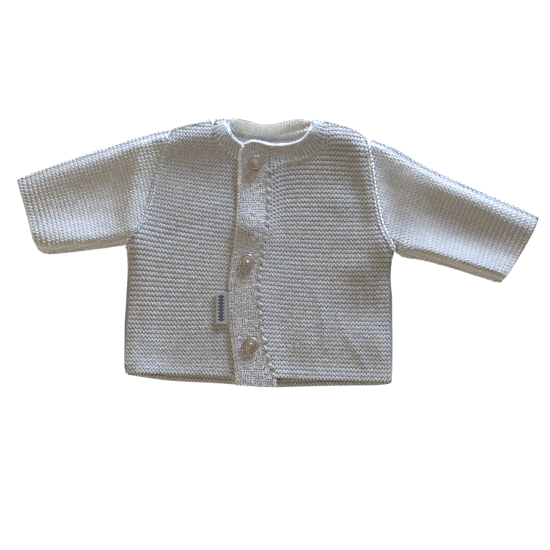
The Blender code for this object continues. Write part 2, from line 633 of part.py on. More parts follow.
def sleeve_tube(name, sleeve):
    """Lines along the sleeve: over the top from the upper fold to the lower one, and back below."""
    wall = Wall()

    def line(station, height, step=None):
        """step is the length between rows, in ridges."""
        if step is None:
            step = PLAIN_STEP if station[0] != "part" else LONG_STEP
        numbers = []
        for ridge in rows_of(station, step):
            x, y = sleeve.place(station, ridge)
            numbers.append((ridge, wall.add(x, y, height(x, y, ridge, station))))
        return numbers

    def rows_of(station, step):
        end = sleeve.last(station)
        count = int(end / step - SHORTEST_ROW)
        return [number * step for number in range(count + 1)] + [end]

    def drop(station):
        return edge_drop(station[1], EDGE_RADIUS, EDGE_RADIUS) if station[0] != "part" else 0.0

    def over(x, y, ridge, station):
        rise = RIDGE_HEIGHT if ridge % 1.0 == 0.5 else -CUFF_DEPTH if ridge == 0 else 0.0
        flat = 1.0 - drop(station) / EDGE_RADIUS
        return 2.0 * EDGE_RADIUS + relief(x, y) - drop(station) + rise * flat

    def under(x, y, ridge, station):
        return drop(station)

    def fold(x, y, ridge, station):
        return EDGE_RADIUS

    def hollow_top(x, y, ridge, station):
        return FRONT_FLOOR + relief(x, y)

    def hollow_under(x, y, ridge, station):
        return WALL

    outer = [line(("upper", 0.0), fold, 1.0)]
    outer += [line(station, over, 0.5) for station in SLEEVE_TOP]
    outer.append(line(("lower", 0.0), fold, 1.0))
    outer += [line(station, under) for station in SLEEVE_UNDER]
    inner = [line(("upper", HOLLOW_EDGE), fold)]
    inner += [line(station, hollow_top, 4.0) for station in SLEEVE_HOLLOW_TOP]
    inner.append(line(("lower", HOLLOW_EDGE), fold))
    inner += [line(station, hollow_under) for station in SLEEVE_HOLLOW_UNDER]
    outer_keys = ring_keys(SLEEVE_TOP, SLEEVE_UNDER)
    inner_keys = ring_keys(SLEEVE_HOLLOW_TOP, SLEEVE_HOLLOW_UNDER)
    wall.skin(outer + outer[:1])
    wall.skin((inner + inner[:1])[::-1])
    for end in (0, -1):
        wall.strip([(key, row[end][1]) for key, row in zip(outer_keys, outer + outer[:1])],
                   [(key, row[end][1]) for key, row in zip(inner_keys, inner + inner[:1])])
    return make_object(name, wall, "garter")


def ring_keys(over, under):
    """Places round a flattened tube: 0 at the upper fold, 1 at the lower one, 2 back at the start."""
    def share(station):
        side, value = station
        return value * 0.01 if side == "upper" else 1.0 - value * 0.01 if side == "lower" else value
    return [0.0] + [share(s) for s in over] + [1.0] + [2.0 - share(s) for s in under] + [2.0]


# ---------------------------------------------------------------- bands and neckband

# Lines along a band, left to right. Columns: side, distance from that side or share of the width, step.
BAND_LINES = [
    ("left", 0.0, 0.25), ("left", 0.7, 0.5), ("left", 2.2, 0.5), ("part", 0.5, 1.0),
    ("right", 2.2, 0.5), ("right", 0.7, 0.5), ("right", 0.0, 0.25),
]
BAND_PLAIN_LINES = [("left", 0.0, 0.25), ("part", 0.5, 1.0), ("right", 0.0, 0.25)]
BAND_EDGE_RADIUS = 2.2
FREE_EDGE_DEPTH, SEAM_EDGE_DEPTH, BAND_END_DEPTH = 0.9, 0.35, 0.5


def band(name, track, floor, free_left):
    """A plain band in steps from the hem up, its free edge a little rounded."""
    wall = Wall()
    last = track.keys[-1]

    def line_of(side, value, step, outer):
        line = []
        for number in [count * step for count in range(math.ceil(last / step))] + [last]:
            left_x, left_y, right_x, right_y = track(number)
            length = math.hypot(right_x - left_x, right_y - left_y)
            share = {"left": value / length, "right": 1.0 - value / length, "part": value}[side]
            x, y = float(mix(left_x, right_x, share)), float(mix(left_y, right_y, share))
            height = floor(x, y)
            if outer:
                depth = FREE_EDGE_DEPTH if side == "left" and free_left else SEAM_EDGE_DEPTH
                drop = edge_drop(value, BAND_EDGE_RADIUS, depth) if side != "part" else 0.0
                height += WALL - max(drop, BAND_END_DEPTH if number in (0.0, last) else 0.0)
            line.append((number, wall.add(x, y, height)))
        return line

    outer = [line_of(side, value, step, True) for side, value, step in BAND_LINES]
    inner = [line_of(side, value, step, False) for side, value, step in BAND_PLAIN_LINES]
    wall.skin(outer)
    wall.skin(inner[::-1])
    outer_keys = [station_key(row[:2]) for row in BAND_LINES]
    inner_keys = [station_key(row[:2]) for row in BAND_PLAIN_LINES]
    wall.rim(outer, inner, outer_keys, inner_keys)
    return make_object(name, wall, "band")


def even_steps(track, spacing):
    """Steps along a part of the neckband, evenly spaced on the line midway between its two edges."""
    keys = np.linspace(track.keys[0], track.keys[-1], 200)
    middles = np.array([0.5 * (track(key)[:2] + track(key)[2:]) for key in keys])
    lengths = np.concatenate(([0.0], np.cumsum(np.linalg.norm(np.diff(middles, axis=0), axis=1))))
    count = max(2, round(lengths[-1] / spacing))
    return [float(np.interp(lengths[-1] * number / count, lengths, keys)) for number in range(count + 1)]


# Rows across the neckband from its seam to its free edge.
# Columns: share of the width, height of the rolled edge.
NECK_ROWS = [(0.0, 0.0), (0.3, 0.0), (0.6, 0.0), (0.82, 0.1), (0.93, 1.0), (1.0, 0.0)]
NECK_PLAIN_ROWS = [0.0, 0.5, 1.0]
TURN_ANGLES = (52.0, 18.0, -18.0, -52.0)
BACK_STEP = 6.0
ROLL_CALM = 0.6           # how much lower the ribs are on the rolled edge


def neckband():
    """One strip: right front, over the right neck corner, back, over the left neck corner, left front."""
    wall = Wall()
    outer, inner = [], []

    def add_station(row, outer_height, inner_height, rib, outward=None):
        """outward is the plan offset of the outer and of the inner points, where the band turns over."""
        seam, free = np.array(row[:2]), np.array(row[2:])
        seam = seam + (free - seam) * (SEAM_GAP / np.linalg.norm(free - seam))
        number = len(outer)
        line = []
        for share, roll in NECK_ROWS:
            x, y = seam + (free - seam) * share + (outward[0] if outward else 0.0)
            height = outer_height(x, y, rib * (1.0 - ROLL_CALM * roll), roll, share)
            line.append((share, wall.add(x, y, height)))
        outer.append((number, line))
        line = []
        for share in NECK_PLAIN_ROWS:
            x, y = seam + (free - seam) * share + (outward[1] if outward else 0.0)
            line.append((share, wall.add(x, y, inner_height(x, y))))
        inner.append((number, line))

    def front_outer(x, y, rib, roll, share):
        rise = rib * RIB_HEIGHT + roll * ROLL_HEIGHT - (END_DEPTH if share == 1.0 else 0.0)
        return left_floor(x, y) + WALL + rise

    def front_part(track, inner_edge):
        steps = even_steps(track, 0.5 * RIB_PITCH)
        for number, step in enumerate(steps):
            crest = number % 2 == 1 and 0 < number < len(steps) - 1
            _, seam_y, free_x, free_y = track(step)
            row = (inner_edge(seam_y), seam_y, free_x, free_y)
            add_station(row, front_outer, left_floor, 1.0 if crest else 0.0)

    def turn(row, angles):
        seam, free = np.array(row[:2]), np.array(row[2:])
        along = (free - seam) / np.linalg.norm(free - seam)
        normal = np.array((-along[1], along[0]))
        normal *= math.copysign(1.0, normal[1])
        for angle in angles:
            swing, lift = math.cos(math.radians(angle)), math.sin(math.radians(angle))
            outer_z, inner_z = EDGE_RADIUS * (1.0 + lift), EDGE_RADIUS + 0.5 * LAYER_GAP * lift
            add_station(row, lambda x, y, rib, roll, share, z=outer_z: z, lambda x, y, z=inner_z: z, 0.0,
                        (normal * EDGE_RADIUS * swing, normal * 0.5 * LAYER_GAP * swing))

    front_part(Track(NECK_RIGHT_FRONT), right_front_inner)
    turn(NECK_BACK[0][1:], TURN_ANGLES)
    back = Track(NECK_BACK)
    for step in even_steps(back, BACK_STEP):
        seam_x, _, free_x, free_y = back(step)
        add_station((seam_x, top_line(seam_x), free_x, free_y), lambda x, y, rib, roll, share: 0.0,
                    lambda x, y: WALL, 0.0)
    turn(NECK_BACK[-1][1:], TURN_ANGLES[::-1])
    front_part(Track(NECK_LEFT_FRONT), left_front_inner)
    outer_lines = [line for _, line in outer]
    keys = [number for number, _ in outer]
    wall.skin(outer_lines)
    inner_lines = [line for _, line in inner]
    wall.skin(inner_lines[::-1])
    wall.rim(outer_lines, inner_lines, keys, keys)
    return make_object("neckband", wall, "band")


# ---------------------------------------------------------------- buttons, buttonholes and label

CUTTER_SIDES = 18
CUTTER_LOW, CUTTER_HIGH = 1.0, 9.0


def buttonhole_cutter(name, x, y):
    """A tall lens that opens the band for a button's shank."""
    around = [2.0 * math.pi * n / CUTTER_SIDES for n in range(CUTTER_SIDES)]
    half_width, half_length = 0.5 * BUTTONHOLE_WIDTH, 0.5 * BUTTONHOLE_LENGTH
    outline = [(-half_width * math.sin(angle), half_length * math.cos(angle)) for angle in around]
    wall = Wall()
    low = [wall.add(x + dx, y + dy, FRONT_FLOOR + CUTTER_LOW) for dx, dy in outline]
    high = [wall.add(x + dx, y + dy, FRONT_FLOOR + CUTTER_HIGH) for dx, dy in outline]
    count = len(outline)
    wall.faces = [tuple(low), tuple(high)]
    wall.faces += [(low[n], low[(n + 1) % count], high[(n + 1) % count], high[n]) for n in range(count)]
    cutter = make_object(name, wall, "band")
    cutter.hide_render = True
    cutter.display_type = "WIRE"
    return cutter


def cut_buttonholes(piece):
    for number, (x, y) in enumerate(BUTTONS, start=1):
        cut = piece.modifiers.new(f"buttonhole_{number}", "BOOLEAN")
        cut.operation = "DIFFERENCE"
        cut.solver = "EXACT"
        cut.object = buttonhole_cutter(f"cutter_{number}", x, y)


def button(number, x, y):
    """A turned button on a shank that passes through the buttonhole to just above the button band."""
    sides = BUTTON_SIDES
    around = [2.0 * math.pi * n / sides for n in range(sides)]
    rim = [(x + BUTTON_RADIUS * math.cos(a), y + BUTTON_RADIUS * math.sin(a)) for a in around]
    seat = max(band_floor(*place) for place in rim) + WALL + SEAM_GAP
    foot = right_floor(x, y) + WALL + SEAM_GAP
    profile = [(SHANK_RADIUS, foot), (SHANK_RADIUS, seat)]
    profile += [(radius, seat + height) for radius, height in BUTTON_PROFILE]
    wall = Wall()
    rings = [[wall.add(x + r * math.cos(a), y + r * math.sin(a), z) for a in around] for r, z in profile]
    for low, high in zip(rings, rings[1:]):
        wall.faces += [(low[n], low[(n + 1) % sides], high[(n + 1) % sides], high[n]) for n in range(sides)]
    base = wall.add(x, y, foot)
    crown = wall.add(x, y, seat + BUTTON_PROFILE[-1][1] + BUTTON_CROWN)
    for n in range(sides):
        wall.faces.append((rings[0][n], rings[0][(n + 1) % sides], base))
        wall.faces.append((rings[-1][n], rings[-1][(n + 1) % sides], crown))
    piece = make_object(f"button_{number}", wall, "button")
    piece.data.shade_smooth()
    piece.data.set_sharp_from_angle(angle=math.radians(35.0))
    return piece


def label():
    """A folded tab on the right front, its fold to the viewer's left, its open end at the band."""
    upper, bend = LABEL_FOLD - LABEL_SHEET, 0.5 * LABEL_FOLD
    round_x, hollow_x = LABEL_LEFT + LABEL_INSET, LABEL_LEFT + bend + LABEL_HOLLOW
    section = [
        (LABEL_RIGHT, 0.0), (LABEL_LEFT + bend, 0.0), (round_x, 2.0 * LABEL_INSET), (LABEL_LEFT, bend),
        (round_x, LABEL_FOLD - 2.0 * LABEL_INSET), (LABEL_LEFT + bend, LABEL_FOLD),
        (LABEL_RIGHT, LABEL_FOLD), (LABEL_RIGHT, upper), (hollow_x, upper), (LABEL_LEFT + bend, bend),
        (hollow_x, LABEL_SHEET), (LABEL_RIGHT, LABEL_SHEET),
    ]
    lift = WALL + RIDGE_HEIGHT + SEAM_GAP
    stations = [mix(LABEL_BOTTOM, LABEL_TOP, n / LABEL_STEPS) for n in range(LABEL_STEPS + 1)]
    wall = Wall()
    rings = [[wall.add(x, y, right_floor(x, y) + lift + z) for x, z in section] for y in stations]
    count = len(section)
    for low, high in zip(rings, rings[1:]):
        wall.faces += [(low[n], low[(n + 1) % count], high[(n + 1) % count], high[n]) for n in range(count)]
    wall.faces += [tuple(rings[0]), tuple(rings[-1])]
    return make_object("label", wall, "label")


def centre_garment():
    """Puts the middle of the garment's box over the origin."""
    pieces = [piece for piece in bpy.data.objects if not piece.hide_render]
    corners = np.array([vert.co[:2] for piece in pieces for vert in piece.data.vertices])
    middle = 0.5 * (corners.min(0) + corners.max(0))
    for piece in bpy.data.objects:
        for vert in piece.data.vertices:
            vert.co.x -= middle[0]
            vert.co.y -= middle[1]
    print("moved by", [round(float(value) / MM, 3) for value in middle], "mm")


def main():
    for piece in list(bpy.data.objects):
        bpy.data.objects.remove(piece, do_unlink=True)
    back_panel()
    right = Panel(body_left, right_front_inner, RIGHT_FRONT_RIDGES, right_floor, RIGHT_FRONT_LAST)
    left = Panel(left_front_inner, body_right, LEFT_FRONT_RIDGES, left_floor, LEFT_FRONT_LAST)
    front_panel("front_right", right, "left", RIGHT_UNDERARM)
    front_panel("front_left", left, "right", LEFT_UNDERARM)
    sleeve_tube("sleeve_right", Sleeve(RIGHT_SLEEVE_TRACK, RIGHT_ARM_LINE, -1.0))
    sleeve_tube("sleeve_left", Sleeve(LEFT_SLEEVE_TRACK, LEFT_ARM_LINE, 1.0))
    neckband()
    band("button_band", BUTTON_TRACK, right_floor, False)
    cut_buttonholes(band("buttonhole_band", BUTTONHOLE_TRACK, band_floor, True))
    for number, (x, y) in enumerate(BUTTONS, start=1):
        button(number, x, y)
    label()
    centre_garment()


main()
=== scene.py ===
# %% [markdown]
# # A newborn's cardigan in garter knit, buttoned and laid flat
# The cardigan is eight knitted pieces, three buttons and a small woven tab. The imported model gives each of
# them a plain solid with the right size and place. This script dresses those solids: every knitted piece
# becomes a thin shell of cloth with real loops of yarn on it, and buttons and tab get their fine form.

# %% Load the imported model
import math

import bmesh
import bpy
import numpy as np
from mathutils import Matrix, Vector
from mathutils.bvhtree import BVHTree


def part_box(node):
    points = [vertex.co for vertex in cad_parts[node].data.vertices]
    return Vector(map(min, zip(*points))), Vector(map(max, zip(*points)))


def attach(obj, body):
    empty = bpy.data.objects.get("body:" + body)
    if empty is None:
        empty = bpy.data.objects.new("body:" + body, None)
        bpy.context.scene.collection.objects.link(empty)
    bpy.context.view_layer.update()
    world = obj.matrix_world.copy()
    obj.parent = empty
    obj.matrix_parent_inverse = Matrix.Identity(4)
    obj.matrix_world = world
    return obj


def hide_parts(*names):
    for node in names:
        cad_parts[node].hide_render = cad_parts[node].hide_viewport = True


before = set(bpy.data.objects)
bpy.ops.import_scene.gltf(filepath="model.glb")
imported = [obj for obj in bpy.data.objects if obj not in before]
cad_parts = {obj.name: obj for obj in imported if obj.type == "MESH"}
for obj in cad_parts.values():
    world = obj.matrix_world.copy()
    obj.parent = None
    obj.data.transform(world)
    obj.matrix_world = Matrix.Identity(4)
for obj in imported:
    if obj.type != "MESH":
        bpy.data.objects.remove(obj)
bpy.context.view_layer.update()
print("nodes:", ", ".join(sorted(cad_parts)))

# %% [markdown]
# ## Sizes
# Knitters measure a cloth by its gauge: how wide one stitch is and how far one ridge is from the next. Tables
# and sizes here are in millimetres, because that is how knitwear is drafted, and meshes are made in metres.
# Right and left are the wearer's, so the right front is on the viewer's left.

# %% Gauge, yarn and cloth
MM = 0.001
STITCH = 2.95             # width of one stitch
RIB = 2.8                 # from one rib of the neckband to the next
BAND_STITCH = 2.8         # the finer gauge of the bands
BAND_COURSE = 2.0
YARN_RADIUS = 0.6
WAVE = 1.28               # how far a head reaches up and a sinker down from the middle of the ridge
BULGE = -0.06             # how far both stand out beyond the legs between them
CLOTH_WALL = 1.2          # the shell under the loops
SINK = 0.62               # the shell lies this far below the solid's surface, to leave room for the loops
RIDGE_RISE = 0.3          # the shell's own ridges, under the loops
FOLD_RADIUS = 1.75        # half the thickness of a flattened sleeve's fold
FOLD_MIDDLE = 2.5
UNDERSIDE = 0.75          # height of the shell where it rests, with flat loops below it
BACK_INSIDE = 2.1         # height of the back's upper side
PRESSED = 0.3             # loops lower than this are pressed by the table
NECK_MIDDLE = -8.0        # x of the middle of the neck
NECK_REACH = 46.0         # and how far the cloth behind it shows to each side
dice = np.random.default_rng(20)

# %% [markdown]
# ## The knitter's tables
# A garter piece is described best by its ridges: where each one starts and ends, and how much it bows in
# between. Only a few ridges are written down. A smooth curve through the rows gives all the others.

# %% Tables of ridges
# Columns: ridge, y at the viewer's left end, y at the right end, bow in the middle.
RIGHT_FRONT = [
    (0, -102.8, -106.1, 0.8), (5, -86.2, -87.4, -0.6), (10, -68.6, -68.6, -1.5), (15, -49.6, -50.6, -0.8),
    (20, -28.8, -33.2, -0.2), (25, -6.2, -15.6, -0.6), (30, 15.6, 2.4, -1.0), (35, 35.4, 21.0, -1.0),
    (40, 53.2, 39.8, -0.8), (45, 69.6, 58.8, -0.6), (50, 85.2, 77.4, -0.9), (56, 102.4, 98.4, -0.8),
    (60, 114.8, 112.2, 0.0),
]
LEFT_FRONT = [
    (0, -106.7, -110.1, -0.4), (5, -88.0, -92.2, -0.3), (10, -69.3, -74.2, -0.9), (15, -50.6, -55.6, -1.7),
    (20, -31.7, -36.4, -2.2), (25, -13.4, -17.2, -2.0), (30, 5.1, 1.9, -1.7), (35, 23.6, 21.0, -1.2),
    (40, 42.5, 39.9, -0.2), (45, 62.0, 59.1, 0.5), (50, 82.5, 78.6, 1.0), (54, 99.0, 95.4, 0.6),
    (58, 114.6, 112.2, 0.0),
]
# Columns: ridge from the cuff, upper end x, y, lower end x, y, outward bow in the middle.
RIGHT_SLEEVE = [
    (0.0, -221.4, 61.6, -203.6, 3.8, 0.0), (1.0, -217.8, 63.2, -199.8, -0.3, 0.5),
    (2.0, -214.2, 64.6, -194.8, -1.8, 0.8), (4.0, -207.2, 67.4, -186.4, -1.6, 0.5),
    (7.0, -197.4, 71.2, -175.9, -0.6, -0.1), (11.0, -184.6, 75.8, -162.8, 1.0, -0.8),
    (16.0, -169.0, 81.2, -147.5, 2.9, -1.6), (22.0, -150.8, 87.2, -129.8, 5.5, -2.4),
    (28.0, -131.6, 93.8, -112.9, 7.6, -3.2), (34.0, -112.4, 99.8, -95.6, 9.4, -4.0),
    (40.0, -91.4, 105.0, -78.5, 10.4, -4.6),
]
LEFT_SLEEVE = [
    (0.0, 221.8, 29.3, 188.3, -26.3, 2.6), (3.0, 209.4, 35.5, 180.4, -24.5, 0.6),
    (7.0, 193.4, 42.3, 167.6, -20.4, -1.2), (14.0, 167.2, 54.0, 144.0, -13.0, -2.0),
    (21.0, 142.6, 65.0, 119.7, -6.7, -2.4), (25.0, 129.4, 71.7, 106.6, -4.5, -2.4),
    (28.0, 120.4, 76.6, 96.6, 0.9, -2.5), (35.0, 100.6, 88.2, 72.6, 3.1, -3.0),
    (42.0, 80.6, 96.5, 51.0, 4.2, -3.4),
]
# Columns: step from the hem, left edge x, y, right edge x, y.
BUTTONHOLE_BAND = [
    (0, -33.6, -112.2, -2.1, -112.9), (1, -34.0, -103.7, -3.0, -104.5), (3, -37.0, -79.9, -10.2, -79.9),
    (5, -39.5, -56.9, -14.4, -54.4), (7, -39.9, -27.2, -15.7, -27.2), (9, -35.3, 6.8, -11.5, 6.8),
    (11, -33.1, 32.3, -8.1, 32.3), (12, -32.7, 49.3, -7.6, 49.3), (14, -31.9, 70.5, -8.1, 68.8),
    (15, -31.6, 82.5, -8.1, 80.8), (15.5, -29.9, 87.5, -8.1, 85.0), (16, -27.2, 91.0, -8.1, 88.0),
    (16.5, -22.9, 93.7, -8.1, 91.0),
]
# Columns: step along the neck, seam edge x, y, free edge x, y.
NECK_RIGHT_FRONT = [
    (0, -29.7, 78.0, -29.5, 91.0), (1, -37.8, 82.5, -34.4, 94.3), (2, -44.6, 88.4, -39.1, 99.0),
    (3, -50.6, 96.9, -41.6, 105.0), (4, -54.2, 109.9, -43.2, 112.5),
]
NECK_BACK = [
    (0, -54.2, 109.9, -43.2, 112.5), (1, -41.2, 105.8, -34.4, 113.5), (2, -26.8, 101.6, -23.4, 111.3),
    (3, -9.8, 98.8, -8.9, 108.4), (4, 5.5, 99.9, 4.7, 110.9), (5, 20.0, 104.1, 16.6, 113.2),
    (6, 38.4, 109.8, 28.6, 111.2),
]
NECK_LEFT_FRONT = [
    (0, 38.4, 109.8, 28.6, 111.2), (1, 38.7, 105.0, 28.9, 107.6), (2, 37.8, 96.9, 26.9, 103.0),
    (3, 34.9, 88.4, 24.2, 98.6), (4, 28.5, 83.3, 20.4, 95.0), (5, 20.0, 80.1, 14.9, 92.4),
    (6, 11.5, 78.4, 7.6, 91.0), (7, 3.8, 76.1, 1.3, 90.4), (8, -2.1, 72.2, -3.8, 90.4),
    (9, -7.6, 66.6, -7.8, 90.8),
]
# Columns: x, y. The tables were drafted a little off the middle, and the first button says by how much.
BUTTONS = [(-18.8, 74.8), (-25.5, -9.1), (-22.6, -78.7)]
first_button = sum(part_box("button_1"), Vector()) / 2 / MM
DRAFT_MIDDLE = np.array([BUTTONS[0][0] - first_button.x, BUTTONS[0][1] - first_button.y])
print("draft middle:", DRAFT_MIDDLE.round(3), "mm")

# %% A smooth curve through a table
def mix(start, end, part):
    return start + (end - start) * part


def smooth(part):
    """A soft step from 0 to 1."""
    part = np.clip(part, 0.0, 1.0)
    return part * part * (3.0 - 2.0 * part)


def read_table(rows, key):
    """The values at one place of a table, by a smooth curve through its rows."""
    rows = np.array(rows, float)
    keys, values = rows[:, 0], rows[:, 1:]
    slopes = np.gradient(values, keys, axis=0)
    key = min(max(key, keys[0]), keys[-1])
    spot = min(int(np.searchsorted(keys, key, side="right")) - 1, len(keys) - 2)
    span = keys[spot + 1] - keys[spot]
    part = (key - keys[spot]) / span
    start, end = values[spot], values[spot + 1]
    first, last = slopes[spot] * span, slopes[spot + 1] * span
    rise = end - start
    return start + part * (first + part * (3 * rise - 2 * first - last + part * (first + last - 2 * rise)))


# %% [markdown]
# ## Reading the solids
# The cloth has to lie where its solid lies. A ray shot straight down finds the height of a solid at one
# point, and a map of such heights, softened a little, is the surface that the cloth follows. A cut through
# the mesh at each y gives the piece's left and right edge.

# %% Height maps and outlines of the solids
MAP_STEP = 1.0
MAP_MARGIN = 8            # in steps, on every side
SOFTENING = 3             # rounds of it
OUTLINE_INSET = 0.02      # an outline is read this far inside the solid's ends


def neighbours(heights):
    return np.stack([np.roll(heights, move, (0, 1)) for move in ((0, 1), (1, 0), (0, -1), (-1, 0))])


class HeightMap:
    """How high a solid's surface is over each point, seen from above or from below, in millimetres."""

    def __init__(self, node, below=False):
        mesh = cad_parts[node].data
        tree = BVHTree.FromPolygons([v.co[:] for v in mesh.vertices], [p.vertices[:] for p in mesh.polygons])
        low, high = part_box(node)
        self.corner = np.array([low.x, low.y]) / MM - MAP_MARGIN * MAP_STEP
        size = (np.array([high.x - low.x, high.y - low.y]) / MM / MAP_STEP).astype(int) + 2 * MAP_MARGIN
        heights = np.full(size[::-1], np.nan)
        start, way = (-1.0, 1.0) if below else (1.0, -1.0)
        for row in range(size[1]):
            y = (self.corner[1] + row * MAP_STEP) * MM
            for column in range(size[0]):
                x = (self.corner[0] + column * MAP_STEP) * MM
                hit = tree.ray_cast(Vector((x, y, start)), Vector((0.0, 0.0, way)))[0]
                if hit:
                    heights[row, column] = hit.z / MM
        while np.isnan(heights).any():
            near = neighbours(heights)
            known = ~np.isnan(near)
            total, count = np.where(known, near, 0.0).sum(0), known.sum(0)
            heights = np.where(np.isnan(heights) & (count > 0), total / np.maximum(count, 1), heights)
        for _ in range(SOFTENING):
            heights = (2.0 * heights + sum(neighbours(heights))) / 6.0
        self.heights = heights

    def __call__(self, x, y):
        rows, columns = self.heights.shape
        across = np.clip((x - self.corner[0]) / MAP_STEP, 0, columns - 1.001)
        up = np.clip((y - self.corner[1]) / MAP_STEP, 0, rows - 1.001)
        column, row = across.astype(int), up.astype(int)
        across, up = across - column, up - row
        lower = mix(self.heights[row, column], self.heights[row, column + 1], across)
        upper = mix(self.heights[row + 1, column], self.heights[row + 1, column + 1], across)
        return mix(lower, upper, up)


def outline_of(node, axis=1):
    """Places along an axis, then the solid's lowest and highest other coordinate at each."""
    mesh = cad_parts[node].data
    points = np.array([v.co[:2] for v in mesh.vertices]) / MM
    ends = np.array([e.vertices[:] for e in mesh.edges])
    one, two = points[ends[:, 0]], points[ends[:, 1]]
    low, high = points[:, axis].min(), points[:, axis].max()
    places = np.linspace(low + OUTLINE_INSET, high - OUTLINE_INSET, int(high - low) * 2)
    lows, highs = [], []
    level = one[:, axis] == two[:, axis]
    for place in places:
        part = (place - one[:, axis]) / np.where(level, 1e9, two[:, axis] - one[:, axis])
        found = (part >= 0) & (part <= 1) & ~level
        other = mix(one[found, 1 - axis], two[found, 1 - axis], part[found])
        lows.append(other.min())
        highs.append(other.max())
    return places, np.array(lows), np.array(highs)


SHAPED = ("front_right", "front_left", "sleeve_right", "sleeve_left", "neckband", "buttonhole_band")
heights_of = {node: HeightMap(node) for node in SHAPED}
for node, heights in heights_of.items():
    print(node, "is at most", heights.heights.max().round(1), "mm high")

# %% [markdown]
# ## Soft creases
# Laid cloth is never level. Each row below is one soft rise or hollow with its own place, size and direction.
# A rise lifts the loops a little towards the light, a hollow lets them sink.

# %% Creases
# Columns: x, y, half length, half width, angle in degrees, height.
CREASES = [
    # right sleeve: lower crest, upper crest, trough between them
    (-178, 5, 44, 16, 3, 9), (-158, 73, 32, 8, 17, 1.2),
    (-164, 50, 46, 12, 9, -0.4), (-124, 93, 24, 10, 15, 1.4),
    # the head of the right sleeve and the seam below it
    (-122, 52, 50, 9, 80, 3.2), (-119, 6, 36, 9, 92, 1.6),
    (-128, -60, 44, 7, 90, 1.8),
    # left sleeve: lower crest, upper crest, trough between them, and its head
    (150, -15, 62, 15, -17, 8.6), (160, 44, 44, 8, -24, 2.4),
    (156, 18, 42, 12, -22, -0.6), (108, 40, 18, 20, -24, 2),
    # the seam of the left armhole
    (76, 54, 52, 8, -77, 3.4),
    # shoulders
    (-62, 109, 30, 28, 8, 3.4), (-74, 20, 30, 5, 28, -0.4),
    (46, 104, 34, 16, -12, 1.9), (45, 100, 45, 55, -8, 2.2),
    (52, 42, 18, 10, -20, 1.4),
    # the rim of the neck
    (-4, 93, 26, 9, 0, 1.3), (24, 98, 16, 8, 40, 0.9),
    (-38, 96, 14, 8, -45, 0.8),
    # the band between the upper buttons
    (-23, 22, 14, 15, 0, 3.2), (-18, 58, 13, 10, 0, -0.6),
    # hollow below the left underarm and the creases that run from it
    (94, -3, 16, 13, 0, 1.6), (68, -13, 20, 10, 0, 0.7),
    (80, -53, 22, 17, 0, -2), (66, -84, 20, 3.5, -60, 0.7),
    (38, -58, 24, 4, -82, 0.7),
    # the two sides of the hem
    (-114, -106, 32, 14, -28, 3.6), (-64, -113, 50, 14, -3, 1.8),
    (46, -115, 56, 15, -1, 3),
]


def creases(x, y):
    total = 0.0 * x
    for middle_x, middle_y, half_length, half_width, angle, height in CREASES:
        turn = math.radians(angle)
        along = (x - middle_x) * math.cos(turn) + (y - middle_y) * math.sin(turn)
        across = (y - middle_y) * math.cos(turn) - (x - middle_x) * math.sin(turn)
        total = total + height * np.exp(-(along / half_length) ** 2 - (across / half_width) ** 2)
    return total


# %% [markdown]
# ## A knitted piece as rows
# A flat-knitted piece is its rows, one above the other. Here each row is a line of points from one edge of
# the piece to the other, and each point also knows its wale, the column of stitches that it belongs to. From
# this come both the shell of the cloth and the place and direction of every loop.

# %% Rows of knitting
def unit(vectors):
    length = np.linalg.norm(vectors, axis=-1, keepdims=True)
    return np.where(length > 1e-6, vectors / np.maximum(length, 1e-6), (0.0, 0.0, 1.0))


def lengths_along(line):
    """How far each point of a line is from its start."""
    return np.concatenate([[0.0], np.cumsum(np.linalg.norm(np.diff(line, axis=0), axis=1))])


def at_places(at, keys, values):
    """The values between their keys, one row for each place."""
    return np.stack([np.interp(at, keys, column) for column in values.T], 1)


def is_ridge(row):
    return row % 1.0 == 0.5


class Knit:
    """A knitted piece as it lies. facing turns its rows round where its outside would face the wrong way."""

    def __init__(self, rows, points, wales, facing=None):
        self.rows, self.points, self.wales = np.array(rows), np.array(points), np.array(wales)
        if facing and facing * self.outward()[..., 2].mean() < 0:
            self.points, self.wales = self.points[:, ::-1], -self.wales[:, ::-1]
        self.normals = self.outward()

    def outward(self):
        return unit(np.cross(np.gradient(self.points, axis=1), np.gradient(self.points, axis=0)))

    def places(self, gauge, margins=(0.45, 0.45), every_row=False):
        """Where the loops of its ridges go: their points, their directions along the row and outwards."""
        found = []
        for number, row in enumerate(self.rows):
            wales = self.wales[number]
            if not (every_row or is_ridge(row)):
                continue
            first, last = wales[0] + margins[0] * gauge, wales[-1] - margins[1] * gauge
            if last < first:
                continue
            at = gauge * np.arange(math.ceil(first / gauge), math.floor(last / gauge) + 1)
            at = at + dice.normal(0.0, 0.03 * gauge, len(at))
            before, here, after = (at_places(at + shift * gauge, wales, self.points[number])
                                   for shift in (-0.3, 0.0, 0.3))
            out = at_places(at, wales, self.normals[number])
            found.append(np.stack([here, unit(after - before), unit(out)], 1))
        return np.concatenate(found)


# %% [markdown]
# ## From rows to a shell
# The shell has an outside that carries low ridges, a plain inside, and a rim that joins them all round, so it
# is closed and has the thickness of real cloth. Rows that shrink to a point at a corner are merged there.

# %% Meshes from points
def add_object(name, data):
    """Puts a mesh, a lamp or a camera into the scene."""
    thing = bpy.data.objects.new(name, data)
    bpy.context.collection.objects.link(thing)
    return thing


def mark_points(mesh, name, values):
    """Stores a number at each point of a mesh, for its material to read."""
    mesh.attributes.new(name, "FLOAT", "POINT").data.foreach_set("value", np.asarray(values, np.float32))


def make_piece(name, points, faces):
    mesh = bpy.data.meshes.new(name)
    mesh.from_pydata((np.asarray(points) * MM).tolist(), [], faces)
    mesh.shade_smooth()
    return add_object(name, mesh)


MERGE = 0.02              # points closer than this are one


